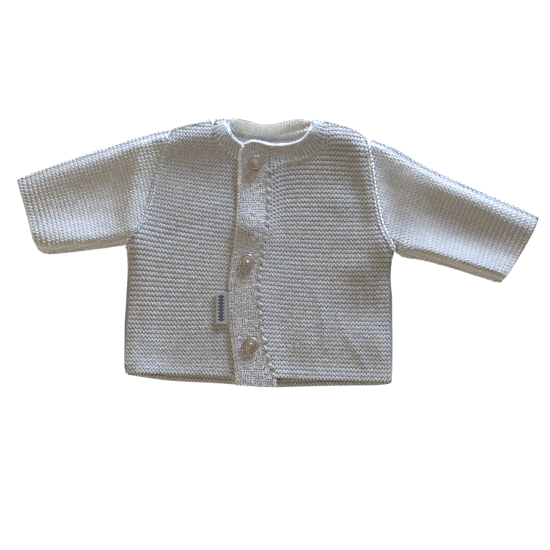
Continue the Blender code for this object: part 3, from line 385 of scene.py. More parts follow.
def cloth_shell(name, knit, inside=None, ridged=True, wall=CLOTH_WALL):
    """A closed shell on the rows of a knitted piece. inside gives the height of its other face."""
    rise = np.where(is_ridge(knit.rows), RIDGE_RISE, 0.0) if ridged else np.zeros(len(knit.rows))
    outer = knit.points + knit.normals * rise[:, None, None]
    inner = knit.points - knit.normals * wall
    if inside:
        inner = np.concatenate([knit.points[..., :2], inside(knit.points[..., :1], knit.points[..., 1:2])], 2)
    rows, columns = outer.shape[:2]
    number = np.arange(rows * columns).reshape(rows, columns)
    other = number + rows * columns

    def quads(a, b, c, d):
        return np.stack([a, b, c, d], -1).reshape(-1, 4).tolist()

    faces = quads(number[:-1, :-1], number[:-1, 1:], number[1:, 1:], number[1:, :-1])
    faces += quads(other[:-1, :-1], other[1:, :-1], other[1:, 1:], other[:-1, 1:])
    faces += quads(number[0, :-1], other[0, :-1], other[0, 1:], number[0, 1:])
    faces += quads(number[-1, :-1], number[-1, 1:], other[-1, 1:], other[-1, :-1])
    faces += quads(number[:-1, 0], number[1:, 0], other[1:, 0], other[:-1, 0])
    faces += quads(number[:-1, -1], other[:-1, -1], other[1:, -1], number[1:, -1])
    piece = make_piece(name, np.concatenate([outer.reshape(-1, 3), inner.reshape(-1, 3)]), faces)
    shape = bmesh.new()
    shape.from_mesh(piece.data)
    bmesh.ops.remove_doubles(shape, verts=shape.verts, dist=MERGE * MM)
    bmesh.ops.dissolve_degenerate(shape, edges=shape.edges, dist=0.5 * MERGE * MM)
    shape.to_mesh(piece.data)
    shape.free()
    print(name, len(piece.data.polygons), "faces")
    return piece


# %% [markdown]
# ## Loops of yarn
# On a garter ridge two kinds of loop show: heads, which arch upwards, and sinkers between them, which hang
# down. Together they make the yarn of a ridge wave up and down, so one stitch is one wave of it, and its ends
# dive into the cloth under the next stitch. On plain knitting a stitch shows as a V of two slanting legs. One
# stitch is modelled, then copied along every row.

# %% One loop and one V
def bent_yarn(line, radii, sides):
    """A short piece of yarn round a line of points, closed at both ends. Returns its points and faces."""
    line = np.array(line, float)
    along = unit(np.gradient(line, axis=0))
    side = unit(np.cross(along, (0.0, 0.0, 1.0)))
    up = np.cross(side, along)
    turns = 2.0 * np.pi * (np.arange(sides) + 0.25) / sides
    points = [middle + radius * (math.cos(a) * s + math.sin(a) * u)
              for middle, radius, s, u in zip(line, radii, side, up) for a in turns]
    faces = []
    for ring in range(len(line) - 1):
        for n in range(sides):
            a, b = ring * sides + n, ring * sides + (n + 1) % sides
            faces.append((b, a, a + sides, b + sides))
    faces.append(tuple(range(sides)))
    faces.append(tuple(len(points) - 1 - n for n in range(sides)))
    return np.array(points), faces


def garter_stitch(steps, sides, wave, bulge, radius):
    """A head and a sinker as one wave. Columns of the line: along the ridge, across it, outwards."""
    turns = np.linspace(-1.12, 1.12, steps) * np.pi
    line = [(STITCH * a / (2.0 * np.pi), wave * math.cos(a), bulge * math.cos(2.0 * a)) for a in turns]
    thick = radius * (1.0 + 0.12 * np.cos(2.0 * turns))
    thick[[0, -1]] *= 0.6
    return bent_yarn(line, thick, sides)


def plain_stitch(width, height, radius, sides=4):
    """A V of two legs."""
    legs = []
    for way in (-1.0, 1.0):
        line = [(way * 0.07 * width, -0.6 * height, -0.35), (way * 0.26 * width, 0.0, 0.34),
                (way * 0.44 * width, 0.55 * height, -0.25)]
        legs.append(bent_yarn(line, (0.5 * radius, radius, 0.6 * radius), sides))
    (left, left_faces), (right, right_faces) = legs
    faces = left_faces + [tuple(len(left) + n for n in face) for face in right_faces]
    return np.concatenate([left, right]), faces


def slanting_stitch(radius, sides=6):
    """One slanting strand that joins a front to its band."""
    line = [(-1.7, 2.3, -0.4), (-0.9, 1.5, 0.4), (0.0, 0.5, 0.5), (0.9, -0.5, 0.3), (1.7, -1.2, -0.4)]
    return bent_yarn(line, (0.5 * radius, radius, radius, radius, 0.6 * radius), sides)


RICH_LOOP = garter_stitch(9, 5, WAVE, BULGE, YARN_RADIUS)
FLAT_LOOP = garter_stitch(5, 4, WAVE, 0.1, 0.5)
print("faces of a loop:", len(RICH_LOOP[1]), "on top and", len(FLAT_LOOP[1]), "below")


# %% Copying a stitch along the rows
def stitch_piece(name, places, stitch, sway):
    """One mesh with a copy of a stitch at every place, each a little uneven, pressed flat on the table."""
    points, faces = stitch
    count = len(places)
    here, along, out = places[:, 0], places[:, 1], places[:, 2]
    across = unit(np.cross(out, along))
    along = np.cross(across, out)
    turn = np.radians(dice.normal(0.0, sway, count))[:, None]
    along, across = along * np.cos(turn) + across * np.sin(turn), across * np.cos(turn) - along * np.sin(turn)
    grown = dice.normal(1.0, 0.04, count)[:, None, None]
    x, y, z = points.T[:, None, :, None]
    spread = grown * (x * along[:, None] + y * across[:, None] + z * out[:, None])
    everything = (here[:, None] + spread).reshape(-1, 3)
    pressed = everything[:, 2] < PRESSED
    everything[pressed, 2] = PRESSED * np.exp(everything[pressed, 2] / PRESSED - 1.0)
    starts = (np.arange(count) * len(points)).tolist()
    copies = [tuple(start + n for n in face) for start in starts for face in faces]
    piece = make_piece(name, everything, copies)
    mark_points(piece.data, "tone", np.repeat(np.clip(dice.normal(1.0, 0.05, count), 0.8, 1.15), len(points)))
    print(name, count, "stitches,", sum(len(face) - 2 for face in faces) * count, "triangles")
    return piece


# %% [markdown]
# ## Cotton
# The yarn is matt white cotton. Its colour wanders a little from loop to loop, it has a faint sheen where the
# fibres stand up, and a fine bump stands for the twisted plies. The shell below the loops has the same
# colour, only darker: painted shade, for the little light that gets down between the loops. The sleeves' yarn
# and shell are painted a little lighter than the body's, as painted light. A material is a chain of nodes.
# Built by hand in the node editor it would be the same chain. Here small helpers add each node and feed its
# inputs, because every finish on the cardigan needs them.

# %% Helpers for materials
def feed(tree, node, inputs):
    """Sets a node's inputs to numbers and colours, or links them to other nodes' outputs."""
    for socket, value in inputs.items():
        if isinstance(value, bpy.types.NodeSocket):
            tree.links.new(value, node.inputs[socket])
        else:
            node.inputs[socket].default_value = value


def add_node(tree, kind, inputs, **settings):
    """Adds a node with its settings and inputs, and returns its outputs."""
    node = tree.nodes.new(kind)
    for setting, value in settings.items():
        setattr(node, setting, value)
    feed(tree, node, inputs)
    return node.outputs


def start_material(name):
    """A new material, with its tree of nodes and the shader that is already in it."""
    material = bpy.data.materials.new(name)
    material.use_nodes = True
    return material, material.node_tree, material.node_tree.nodes["Principled BSDF"]


def mix_colours(tree, factor, first, second, blend="MIX"):
    inputs = {"Factor": factor, "A": first, "B": second}
    return add_node(tree, "ShaderNodeMix", inputs, data_type="RGBA", blend_type=blend)["Result"]


def read_mark(tree, name):
    """The number that mark_points stored at each point."""
    return add_node(tree, "ShaderNodeAttribute", {}, attribute_name=name)["Fac"]


def bumps(tree, height, strength):
    inputs = {"Strength": strength, "Distance": 0.0001, "Height": height}
    return add_node(tree, "ShaderNodeBump", inputs)["Normal"]


# %% Cotton materials
def cotton(name, colour, shade=1.0):
    material, tree, shader = start_material(name)
    place = add_node(tree, "ShaderNodeTexCoord", {})["Object"]
    patches = add_node(tree, "ShaderNodeTexNoise", {"Vector": place, "Scale": 45.0, "Detail": 3.0})["Fac"]
    darker, lighter = [(*[level * shade * part for part in colour], 1.0) for level in (0.93, 1.05)]
    patchy = {"Vector": mix_colours(tree, patches, darker, lighter), "Scale": read_mark(tree, "tone")}
    fibres = add_node(tree, "ShaderNodeTexNoise", {"Vector": place, "Scale": 3200.0, "Detail": 2.0})["Fac"]
    feed(tree, shader, {
        "Roughness": 0.88, "Specular IOR Level": 0.25, "Sheen Weight": 0.15, "Sheen Roughness": 0.5,
        "Base Color": add_node(tree, "ShaderNodeVectorMath", patchy, operation="SCALE")["Vector"],
        "Normal": bumps(tree, fibres, 0.35),
    })
    return material


IVORY = (0.68, 0.69, 0.7)
garter_yarn = cotton("garter_yarn", IVORY)
# painted shade: garter_shell, sleeve_shell and band_shell are darker copies of their yarn's cotton, for the
# shade between the loops
garter_shell = cotton("garter_shell", IVORY, 0.5)
# painted light: the sleeves' yarn and shell are a lighter copy of the body's cotton, so the sleeves look
# brighter
SLEEVE_LIT_IVORY = (0.75, 0.75, 0.74)
sleeve_yarn = cotton("sleeve_yarn", SLEEVE_LIT_IVORY)
sleeve_shell = cotton("sleeve_shell", SLEEVE_LIT_IVORY, 0.62)
FINE_WHITE = (0.79, 0.8, 0.82)
band_yarn = cotton("band_yarn", FINE_WHITE)
band_shell = cotton("band_shell", FINE_WHITE, 0.5)
# painted light: a lighter copy of the yarn for the edges that catch the window light
lit_edge_yarn = cotton("lit_edge_yarn", (0.92, 0.93, 0.93))
# painted light: a lighter, warmer copy of the cotton for the inside of the neck, where the lamps barely reach
neck_lit_yarn = cotton("neck_lit_yarn", (0.95, 0.94, 0.87))
neck_yarn = cotton("neck_yarn", (0.82, 0.82, 0.76))


lying_on = {}             # the loops and chains that lie on each node's cloth


def finish_piece(piece, material, node, is_cloth=True):
    """Gives a piece its material and body. Cloth replaces its node, and all other pieces lie on the cloth."""
    piece.data.materials.clear()
    piece.data.materials.append(material)
    if "tone" not in piece.data.attributes:
        mark_points(piece.data, "tone", np.ones(len(piece.data.vertices)))
    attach(piece, "root")
    if is_cloth:
        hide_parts(node)
    else:
        lying_on.setdefault(node, []).append(piece)


def yarn_piece(name, places, stitch, material, node, sway=4.0):
    finish_piece(stitch_piece(name, places, stitch, sway), material, node, is_cloth=False)


# %% [markdown]
# ## The two fronts
# Each front hangs from its shoulder to the hem in about 58 ridges. The ridges of the right front fall
# towards the buttons and those of the left front sag in the middle, because the cloth was smoothed by hand.

# %% Rows of the fronts
FRONT_COLUMNS = 44
HEM_CALM = 5.0            # above the hem the side edge is read this much higher, clear of the slanting hem
FRONT_LEAN = {"front_right": 0.06, "front_left": -0.02}     # how far the wales lean
BAND_SAG = {"front_right": 0.0, "front_left": 8.5}          # how far the upper ridges dip beside the band
SAG_START, SAG_ROWS, SAG_FADE = 24.0, 20.0, 10.0            # its first ridge, its growth, its fading
FRONT_MARGINS = {"front_right": (0.45, 0.45), "front_left": (0.1, 0.45)}    # stitches without loops
edges = {node: outline_of(node) for node in FRONT_LEAN}


def front_knit(node, table):
    places, lefts, rights = edges[node]
    share = np.linspace(0.0, 1.0, FRONT_COLUMNS)
    rows = np.arange(0.0, table[-1][0] + 0.1, 0.5)
    points, wales = [], []
    for row in rows:
        low, high, bow = read_table(table, row)
        y = mix(low, high, share) + bow * 4.0 * share * (1.0 - share) - DRAFT_MIDDLE[1]
        dip = BAND_SAG[node] * smooth((row - SAG_START) / SAG_ROWS) * np.exp(-SAG_FADE * share)
        y = np.minimum(y - dip, places[-1])
        at = np.maximum(y, places[0] + HEM_CALM)
        x = mix(np.interp(at, places, lefts), np.interp(at, places, rights), share)
        points.append(np.stack([x, y, heights_of[node](x, y) - SINK + creases(x, y)], 1))
        wales.append(x - FRONT_LEAN[node] * y)
    return Knit(rows, points, wales, facing=1)


fronts = {
    "front_right": front_knit("front_right", RIGHT_FRONT),
    "front_left": front_knit("front_left", LEFT_FRONT),
}

# %% Cloth and loops of the fronts
for node, knit in fronts.items():
    finish_piece(cloth_shell(f"{node}_cloth", knit), garter_shell, node)
    places = knit.places(STITCH, FRONT_MARGINS[node])
    yarn_piece(f"{node}_loops", places, RICH_LOOP, garter_yarn, node)

# %% [markdown]
# ## The sleeves
# A sleeve is knitted flat from the cuff up and joined under the arm, so its rows are rings that open where
# the armhole cuts them. Lying down, a ring is a flat loop: over the top, round the upper fold, back below.

# %% Rows of the sleeves
ARMHOLE_GAP = 0.5
SEAM_SHARE = 0.998        # the two edges of the sleeve meet under the arm but don't touch
FOLD_SHARES = [0.0, 0.012, 0.024, 0.036]
RING_SHARES = np.concatenate([FOLD_SHARES, np.linspace(0.06, 0.94, 27), [0.964, 0.976, 0.988, 1.0]])
FOLD_BLEND = (5.0, 3.0)   # how soon the upper and the lower fold level out
ARMHOLE_DIP = 0.3         # the top of a sleeve sinks this much at the armhole's seam
DIP_REACH = 5.0
armholes = {"front_right": edges["front_right"][:2], "front_left": edges["front_left"][::2]}     # y, x


def sleeve_knit(node, table, armhole, side):
    """side is 1 for the left sleeve, which lies towards +x, and -1 for the right one."""
    quarter = 0.5 * math.pi * FOLD_RADIUS
    shares = np.concatenate([-RING_SHARES[:0:-1], RING_SHARES])
    rows, points, wales = [], [], []
    for row in np.arange(0.0, table[-1][0] + 0.1, 0.5):
        upper_x, upper_y, lower_x, lower_y, bow = read_table(table, row)
        upper = np.array([upper_x, upper_y]) - DRAFT_MIDDLE
        lower = np.array([lower_x, lower_y]) - DRAFT_MIDDLE
        width = np.linalg.norm(lower - upper)

        def in_plan(distance):
            """Points of the row at a distance from its upper end, and how far each is from the armhole."""
            part = distance / width
            x = mix(upper[0], lower[0], part) + side * bow * 4.0 * part * (1.0 - part)
            y = mix(upper[1], lower[1], part)
            return x, y, side * (x - np.interp(y, *armhole))

        line = np.linspace(0.0, width, 400)
        cut = np.nonzero(in_plan(line)[2] <= ARMHOLE_GAP)[0]
        reach = line[cut[0]] if len(cut) else width
        if reach < 2.0 * FOLD_RADIUS:
            break
        half_ring = width - 2.0 * FOLD_RADIUS + 2.0 * quarter
        limit = half_ring if reach >= width - 1e-6 else min(reach - FOLD_RADIUS + quarter, half_ring)
        ring = shares * limit * SEAM_SHARE
        away = np.abs(ring)
        top = np.where(ring >= 0.0, 1.0, -1.0)
        first = np.clip(away, 0.0, quarter) / FOLD_RADIUS
        last = np.clip(half_ring - away, 0.0, quarter) / FOLD_RADIUS
        at_upper, at_lower = FOLD_RADIUS * (1.0 - np.cos(first)), width - FOLD_RADIUS * (1.0 - np.cos(last))
        distance = np.where(away < quarter, at_upper, FOLD_RADIUS + away - quarter)
        distance = np.where(half_ring - away < quarter, at_lower, distance)
        x, y, gap = in_plan(distance)
        z = FOLD_MIDDLE + top * FOLD_RADIUS * np.sin(np.minimum(first, last))
        flat = smooth((distance - FOLD_RADIUS) / FOLD_BLEND[0])
        flat = flat * smooth((width - FOLD_RADIUS - distance) / FOLD_BLEND[1])
        z = np.where(top > 0, mix(z, heights_of[node](x, y) - SINK + creases(x, y), flat), z)
        z = z - ARMHOLE_DIP * (np.exp(-(gap / DIP_REACH) ** 2) * np.where(top > 0, flat, 0.0))
        middle = 0.5 * width - FOLD_RADIUS + quarter
        way = -side
        rows.append(row)
        points.append(np.stack([x, y, z], 1)[::way])
        wales.append(way * (ring - middle)[::way])
    return Knit(rows, points, wales)


sleeves = {
    "sleeve_right": sleeve_knit("sleeve_right", RIGHT_SLEEVE, armholes["front_right"], -1),
    "sleeve_left": sleeve_knit("sleeve_left", LEFT_SLEEVE, armholes["front_left"], 1),
}

# %% Cloth and loops of the sleeves
FACES_DOWN = -0.5         # a loop whose outward direction has a lower z is on the underside
for node, knit in sleeves.items():
    finish_piece(cloth_shell(f"{node}_cloth", knit), sleeve_shell, node)
    places = knit.places(STITCH)
    over = places[:, 2, 2] > FACES_DOWN
    yarn_piece(f"{node}_loops", places[over], RICH_LOOP, sleeve_yarn, node)
    yarn_piece(f"{node}_under_loops", places[~over], FLAT_LOOP, sleeve_yarn, node)

# %% [markdown]
# ## The back
# The back lies face down on the table. Its loops are pressed flat there. Its other side shows inside the neck
# and as a narrow strip below the fronts' hem, so that side has loops too, only where it can be seen.

# %% Rows of the back
BACK_COLUMNS = 60
BACK_RIDGES = 57
SHOULDER_LEVEL = 98.0     # above this the side edge of the back is its shoulder
HEM_LEVEL = -97.0         # and below this its hem
SIDE_TAKE_IN = 1.5        # the back ends a little inside the edges of the fronts
NECK_RISE = 1.7           # the inside of the back rises this much towards the front of the neck
LIT = 2.0                 # tone of the cloth where light comes in at the neck
BACK_TONE = 0.9           # tone of the rest of the back
NECK_LOOPS, HEM_LOOPS = 84.0, -103.0      # the inside of the back has loops above and below these


def back_knit(height_of, facing):
    rows = np.arange(0.0, BACK_RIDGES + 0.1, 0.5)
    places, lefts, rights = outline_of("back_panel")
    across, lows, highs = outline_of("back_panel", axis=0)
    lefts, rights = lefts + SIDE_TAKE_IN, rights - SIDE_TAKE_IN
    shoulders = [np.interp(SHOULDER_LEVEL, places, side) for side in (lefts, rights)]
    hem_ends = [np.interp(HEM_LEVEL, places, side) for side in (lefts, rights)]
    share = np.linspace(0.0, 1.0, BACK_COLUMNS)
    points, wales = [], []
    for row in rows:
        x = mix(lefts.min(), rights.max(), share)
        for _ in range(12):
            top = np.interp(np.clip(x, *shoulders), across, highs)
            bottom = np.interp(np.clip(x, *hem_ends), across, lows)
            y = mix(bottom, top, row / BACK_RIDGES)
            at = np.clip(y, HEM_LEVEL, SHOULDER_LEVEL)
            x = mix(np.interp(at, places, lefts), np.interp(at, places, rights), share)
        points.append(np.stack([x, y, height_of(x, y)], 1))
        wales.append(x)
    return Knit(rows, points, wales, facing=facing)


under_back = HeightMap("back_panel", below=True)
THINNEST = 0.3            # the back is nowhere thinner than this
back = back_knit(lambda x, y: np.minimum(under_back(x, y) + UNDERSIDE, BACK_INSIDE - THINNEST), -1)


def inside_height(x, y):
    """The upper side of the back, with its rise inside the neck."""
    rise = NECK_RISE * smooth((100.0 - y) / 15.0) * smooth((y - 78.0) / 6.0)
    return BACK_INSIDE + rise * (abs(x - NECK_MIDDLE) < NECK_REACH - 4.0)


back_inside = back_knit(lambda x, y: inside_height(x, y) + 0.1, 1)

# %% Cloth and loops of the back
shell = cloth_shell("back_panel_cloth", back, inside=inside_height)
spots = np.array([v.co for v in shell.data.vertices]) / MM
lit = (spots[:, 2] > BACK_INSIDE - 0.1) & (spots[:, 1] > 0.0)
mark_points(shell.data, "tone", np.where(lit, LIT, BACK_TONE))
finish_piece(shell, garter_shell, "back_panel")
yarn_piece("back_panel_under_loops", back.places(STITCH), FLAT_LOOP, garter_yarn, "back_panel")
places = back_inside.places(STITCH)
at_neck = (places[:, 0, 1] > NECK_LOOPS) & (abs(places[:, 0, 0] - NECK_MIDDLE) < NECK_REACH)
# painted light: the loops inside the neck are in the lighter yarn
yarn_piece("back_panel_neck_loops", places[at_neck], RICH_LOOP, neck_lit_yarn, "back_panel")
at_hem = places[:, 0, 1] < HEM_LOOPS
yarn_piece("back_panel_hem_loops", places[at_hem], RICH_LOOP, garter_yarn, "back_panel")

# %% [markdown]
# ## Bands and neckband
# These are knitted on finer needles, so their stitches are small Vs. They could be made from rows, as the
# fronts are, but the solids already have the buttonholes and the ribs. So a merged copy of each solid is the
# cloth, and the Vs lie in rows on the buttonhole band and the neckband.

# %% A copy of a solid as cloth
BAND_DROP = 0.3           # how far the cloth is drawn in
SHARP = 50.0              # degrees, from which an edge stays sharp
NECK_LOW, BAND_LOW = 4.5, 5.5     # heights: cloth behind the neck and cloth between the bands lie lower
# painted light: band cloth that lies low is made lighter
LOW_LIT_TONE = 1.8


def copy_of_solid(node):
    """A merged copy of a solid, drawn in a little so that the stitches on it stand out."""
    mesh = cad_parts[node].data.copy()
    piece = add_object(f"{node}_cloth", mesh)
    mesh.name = piece.name
    shape = bmesh.new()
    shape.from_mesh(mesh)
    bmesh.ops.remove_doubles(shape, verts=shape.verts, dist=0.1 * MERGE * MM)
    shape.normal_update()
    for corner in shape.verts:
        corner.co -= corner.normal * BAND_DROP * MM
        corner.co.z += float(creases(corner.co.x / MM, corner.co.y / MM)) * MM
    shape.to_mesh(mesh)
    shape.free()
    mesh.shade_smooth()
    mesh.set_sharp_from_angle(angle=math.radians(SHARP))
    return piece


for node in ("buttonhole_band", "button_band", "neckband"):
    cloth = copy_of_solid(node)
    spots = np.array([v.co for v in cloth.data.vertices]) / MM
    behind = (node == "neckband") & (spots[:, 2] < NECK_LOW) & (abs(spots[:, 0] - NECK_MIDDLE) < NECK_REACH)
    # painted light: the cloth behind the neck and the cloth that lies low get a lighter tone
    mark_points(cloth.data, "tone", np.where(behind, LIT, np.where(spots[:, 2] < BAND_LOW, LOW_LIT_TONE, 1.0)))
    finish_piece(cloth, band_shell, node)


# %% Rows of the bands
def strip_edges(table, steps, first=None, last=None):
    """Both edges of a strip at even steps of its table, and the line in the middle between them."""
    first, last = table[0][0] if first is None else first, table[-1][0] if last is None else last
    sides = np.array([read_table(table, key) for key in np.linspace(first, last, steps)])
    return sides[:, :2], sides[:, 2:], 0.5 * (sides[:, :2] + sides[:, 2:])


def strip_knit(table, node, shares, spacing, along_rows):
    """Rows along or across a strip whose table gives its two edges."""
    *sides, middles = strip_edges(table, 300)
    lengths = lengths_along(middles)
    marks = np.linspace(0.0, lengths[-1], max(2, round(lengths[-1] / spacing)) + 1)
    first, second = (at_places(marks, lengths, side)[:, None] - DRAFT_MIDDLE for side in sides)
    plan = mix(first, second, shares[None, :, None])
    x, y = plan[..., 0], plan[..., 1]
    points = np.stack([x, y, heights_of[node](x, y) + creases(x, y)], 2)
    across = np.linalg.norm(second - first, axis=2) * shares[None]
    if along_rows:
        return Knit(shares, points.transpose(1, 0, 2), np.repeat(marks[None], len(shares), 0), facing=1)
    return Knit(marks, points, across, facing=1)


BUTTONHOLE_REACH = (2.3, 6.6)     # half width and half length of the room round a buttonhole
EDGE_MARGINS = (0.2, 0.2)         # in stitches, on narrow pieces
BAND_SINK = 0.1                   # how deep the band's stitches lie in its cloth
BAND_UNEVEN, DEPTH_SHARE = 0.2, 0.6       # how far stitches stray, and how much of it in depth
BAND_SWAY, RIB_SWAY = 15.0, 8.0           # degrees that they turn
RIB_COURSE = 1.4


def beside_buttonholes(places):
    """Leaves out the stitches that would close a buttonhole."""
    for x, y in BUTTONS:
        beside = (places[:, 0, 0] - x + DRAFT_MIDDLE[0]) / BUTTONHOLE_REACH[0]
        above = (places[:, 0, 1] - y + DRAFT_MIDDLE[1]) / BUTTONHOLE_REACH[1]
        places = places[beside ** 2 + above ** 2 > 1.0]
    return places


band = strip_knit(BUTTONHOLE_BAND, "buttonhole_band", np.linspace(0.07, 1.01, 15), BAND_COURSE, False)
places = beside_buttonholes(band.places(BAND_STITCH, EDGE_MARGINS, every_row=True))
places[:, 0] -= places[:, 2] * BAND_SINK
places[:, 0] += dice.normal(0.0, BAND_UNEVEN, (len(places), 3)) * (1.0, 1.0, DEPTH_SHARE)
band_v = plain_stitch(BAND_STITCH, 1.1 * BAND_COURSE, 0.6)
yarn_piece("buttonhole_band_loops", places, band_v, band_yarn, "buttonhole_band", BAND_SWAY)

rib_v = plain_stitch(0.8 * RIB, 2.0, 0.58)
for name, table, yarn, first, last in (
    ("right_front", NECK_RIGHT_FRONT, band_yarn, -0.1, 0.86),
    ("back", NECK_BACK, neck_yarn, 0.0, 0.84),
    ("left_front", NECK_LEFT_FRONT, band_yarn, -0.1, 0.86),
):
    ribs = strip_knit(table, "neckband", np.linspace(first, last, 8), RIB_COURSE, True)
    places = ribs.places(RIB, every_row=True)
    yarn_piece(f"neckband_{name}_loops", places, rib_v, yarn, "neckband", RIB_SWAY)

# %% [markdown]
# ## Edges and seams
# A knitter closes an edge by pulling each stitch through the next one, which leaves a chain of Vs. Such a
# chain runs round the neck's free edge, along the band's edges and over the armhole seams. One V copied along
# a line is enough for it, because the loops behind it never show.

# %% Chains of stitches
def chain(name, line, width, pitch, radius, material, node, out=(0.0, 0.0, 1.0), sway=5.0):
    """A row of Vs along a line of points in millimetres. out is where the chain faces."""
    lengths = lengths_along(line)
    marks = np.linspace(0.0, lengths[-1], round(lengths[-1] / pitch) + 1)
    here = at_places(marks, lengths, line)
    out = unit(np.tile(out, (len(here), 1)))
    side = unit(np.cross(unit(np.gradient(here, axis=0)), out))
    stitch = plain_stitch(width, pitch * 1.1, radius, 5)
    yarn_piece(name, np.stack([here, side, out], 1), stitch, material, node, sway)


def on_top(node, points, rise, inwards=0.0):
    """Points of a plan lifted onto a solid, with the creases."""
    x, y = np.array(points).T
    return np.stack([x, y, heights_of[node](x + inwards, y) + creases(x, y) + rise], 1)


def edge_of(table, first, last, part, steps=60):
    """The plan of a line along a strip. part 0 is the strip's first edge and 1 its second."""
    one, two, _ = strip_edges(table, steps, first, last)
    return mix(one, two, part) - DRAFT_MIDDLE


# %% The neck's free edge and the armholes
NECK_TURN = (0.0, 0.62, 0.8)      # the bound-off chain faces up and towards the neck
BAND_END = [(-25.5, 91.4), (-22.0, 93.3), (-16.0, 92.4), (-9.5, 90.6)]
front_edge = np.concatenate([
    on_top("neckband", edge_of(NECK_RIGHT_FRONT, 4.0, 0.0, 0.97), 0.1),
    on_top("buttonhole_band", BAND_END, 0.2),
    on_top("neckband", edge_of(NECK_LEFT_FRONT, 8.4, 0.0, 0.97), 0.1),
])
# painted light: the neck's free edge is in the lighter yarn
chain("neck_edge_chain", front_edge, 2.6, 2.1, 0.72, lit_edge_yarn, "neckband", NECK_TURN)
BACK_EDGE_HEIGHT = 7.0            # the neckband's free edge rolls over at the back, this high
back_edge = np.insert(edge_of(NECK_BACK, 0.0, 6.0, 0.94), 2, BACK_EDGE_HEIGHT, axis=1)
# painted light: the back's rolled edge is in the lighter yarn
chain("neck_back_chain", back_edge, 2.6, 2.3, 0.66, neck_lit_yarn, "neckband")

y = np.linspace(1.5, 95.0, 90)
# Columns: front, x beside the armhole's edge, further inwards to read the height, width, yarn.
for node, beside, inwards, width, yarn in (
    # painted light: the left front's armhole chain is in the lighter yarn
    ("front_left", -1.44, -1.2, 4.8, lit_edge_yarn),
    ("front_right", 0.96, 0.8, 3.2, garter_yarn),
):
    line = on_top(node, np.stack([np.interp(y, *armholes[node]) + beside, y], 1), 0.1, inwards)
    chain(f"{node}_armhole_chain", line, width, 3.3, 0.68, yarn, node, sway=9.0)

# %% [markdown]
# ## The shoulders
# A front ends at the shoulder, where its last two ridges turn down to meet the back. Without them the rim of
# the shell would show from behind. They could be part of the front's own rows, but the neckband lies between,
# so they are a narrow piece of the same knitting along whichever edge reaches further.

# %% The folds over the shoulders
SHOULDER_CORNER = {"front_right": 98.0, "front_left": 90.0}     # y at the armhole, just below its upper end
NECK_SIDE = {"front_right": -44.0, "front_left": 29.5}          # x where the fold ends at the neck
CORNER_INSET = 2.5
FOLD_INSET = 2.0          # the height of the upper edge is read this far inside it
FOLD_WALL = 0.8           # thickness of the fold's cloth
# Columns: row, share of the way down to the table, how far it stands out beyond the edge.
FOLD_ROWS = np.array([
    (0.0, 0.0, -1.7), (0.5, 0.14, -0.2), (1.0, 0.45, 0.5), (1.5, 0.74, 0.6), (2.0, 1.0, 0.3),
])


def shoulder_fold(node):
    """The last rows of a front, which turn down over the shoulder to the back."""
    corner = np.interp(SHOULDER_CORNER[node], *armholes[node])
    corner += math.copysign(CORNER_INSET, NECK_SIDE[node] - corner)
    x = np.linspace(min(corner, NECK_SIDE[node]), max(corner, NECK_SIDE[node]), 40)
    levels = []
    for other in (node, "neckband"):
        across, _, highs = outline_of(other, axis=0)
        levels.append(np.interp(x, across, highs, left=0.0, right=0.0))
    y = np.maximum(*levels)
    on_front, on_neck = (heights_of[other](x, y - FOLD_INSET) for other in (node, "neckband"))
    top = np.where(levels[1] > levels[0], on_neck, on_front) + creases(x, y) - 0.1
    points = [np.stack([x, y + out, mix(top, UNDERSIDE + 0.2, share)], 1) for _, share, out in FOLD_ROWS]
    return Knit(FOLD_ROWS[:, 0], points, [x] * len(points))


for node in ("front_right", "front_left"):
    fold = shoulder_fold(node)
    shell = cloth_shell(f"{node}_shoulder_cloth", fold, wall=FOLD_WALL)
    # painted light: the fold's cloth is in the lighter yarn, so no dark line shows along the shoulder
    finish_piece(shell, lit_edge_yarn, node, is_cloth=False)
    yarn_piece(f"{node}_shoulder_loops", fold.places(STITCH, EDGE_MARGINS), RICH_LOOP, garter_yarn, node)

# %% [markdown]
# ## Along the buttonhole band
# The band's outer edge is a chain that turns down over its side, and its upper end, which the knitter worked
# more loosely, has a thicker one, in the lighter yarn as painted light. On the inner edge a chain closes the
# step to the left front, and slanting strands show where the two were sewn together at every second ridge.
# Each is laid along an edge that the band's own table gives, so all of them follow the cloth.

# %% The band's edges
# Columns: name, first and last step, part, rise, inwards, points, width, pitch, radius, yarn, way out, sway.
BAND_EDGES = [
    ("outer", 0.1, 12.6, 0.0, -0.6, 1.8, 120, 2.4, 2.9, 0.66, band_yarn, (-0.4, 0.0, 1.0), 9.0),
    # painted light: the end chain is in the lighter yarn
    ("end", 12.7, 15.6, 0.0, -0.4, 1.8, 30, 3.0, 2.6, 0.85, lit_edge_yarn, (-0.2, 0.3, 1.0), 9.0),
    ("inner", 0.2, 16.2, 0.99, -0.7, -1.6, 120, 2.6, 2.7, 0.66, garter_yarn, (0.3, 0.0, 1.0), 6.0),
]
for name, first, last, part, rise, inwards, steps, width, pitch, radius, yarn, out, sway in BAND_EDGES:
    line = on_top("buttonhole_band", edge_of(BUTTONHOLE_BAND, first, last, part, steps), rise, inwards)
    chain(f"band_{name}_chain", line, width, pitch, radius, yarn, "buttonhole_band", out, sway)

# %% Strands that join the left front to the band
STRANDS_END = 74.0        # above this the neckband covers them
knit = fronts["front_left"]
ends = knit.points[knit.rows % 2.0 == 0.5, 0]
here = ends[ends[:, 1] < STRANDS_END] + (0.1, 0.0, 0.9)
along, out = (np.broadcast_to(way, here.shape) for way in ((1.0, 0.0, 0.0), (0.0, 0.0, 1.0)))
places = np.stack([here, along, out], 1)
yarn_piece("band_joining_strands", places, slanting_stitch(0.58), garter_yarn, "front_left", 9.0)

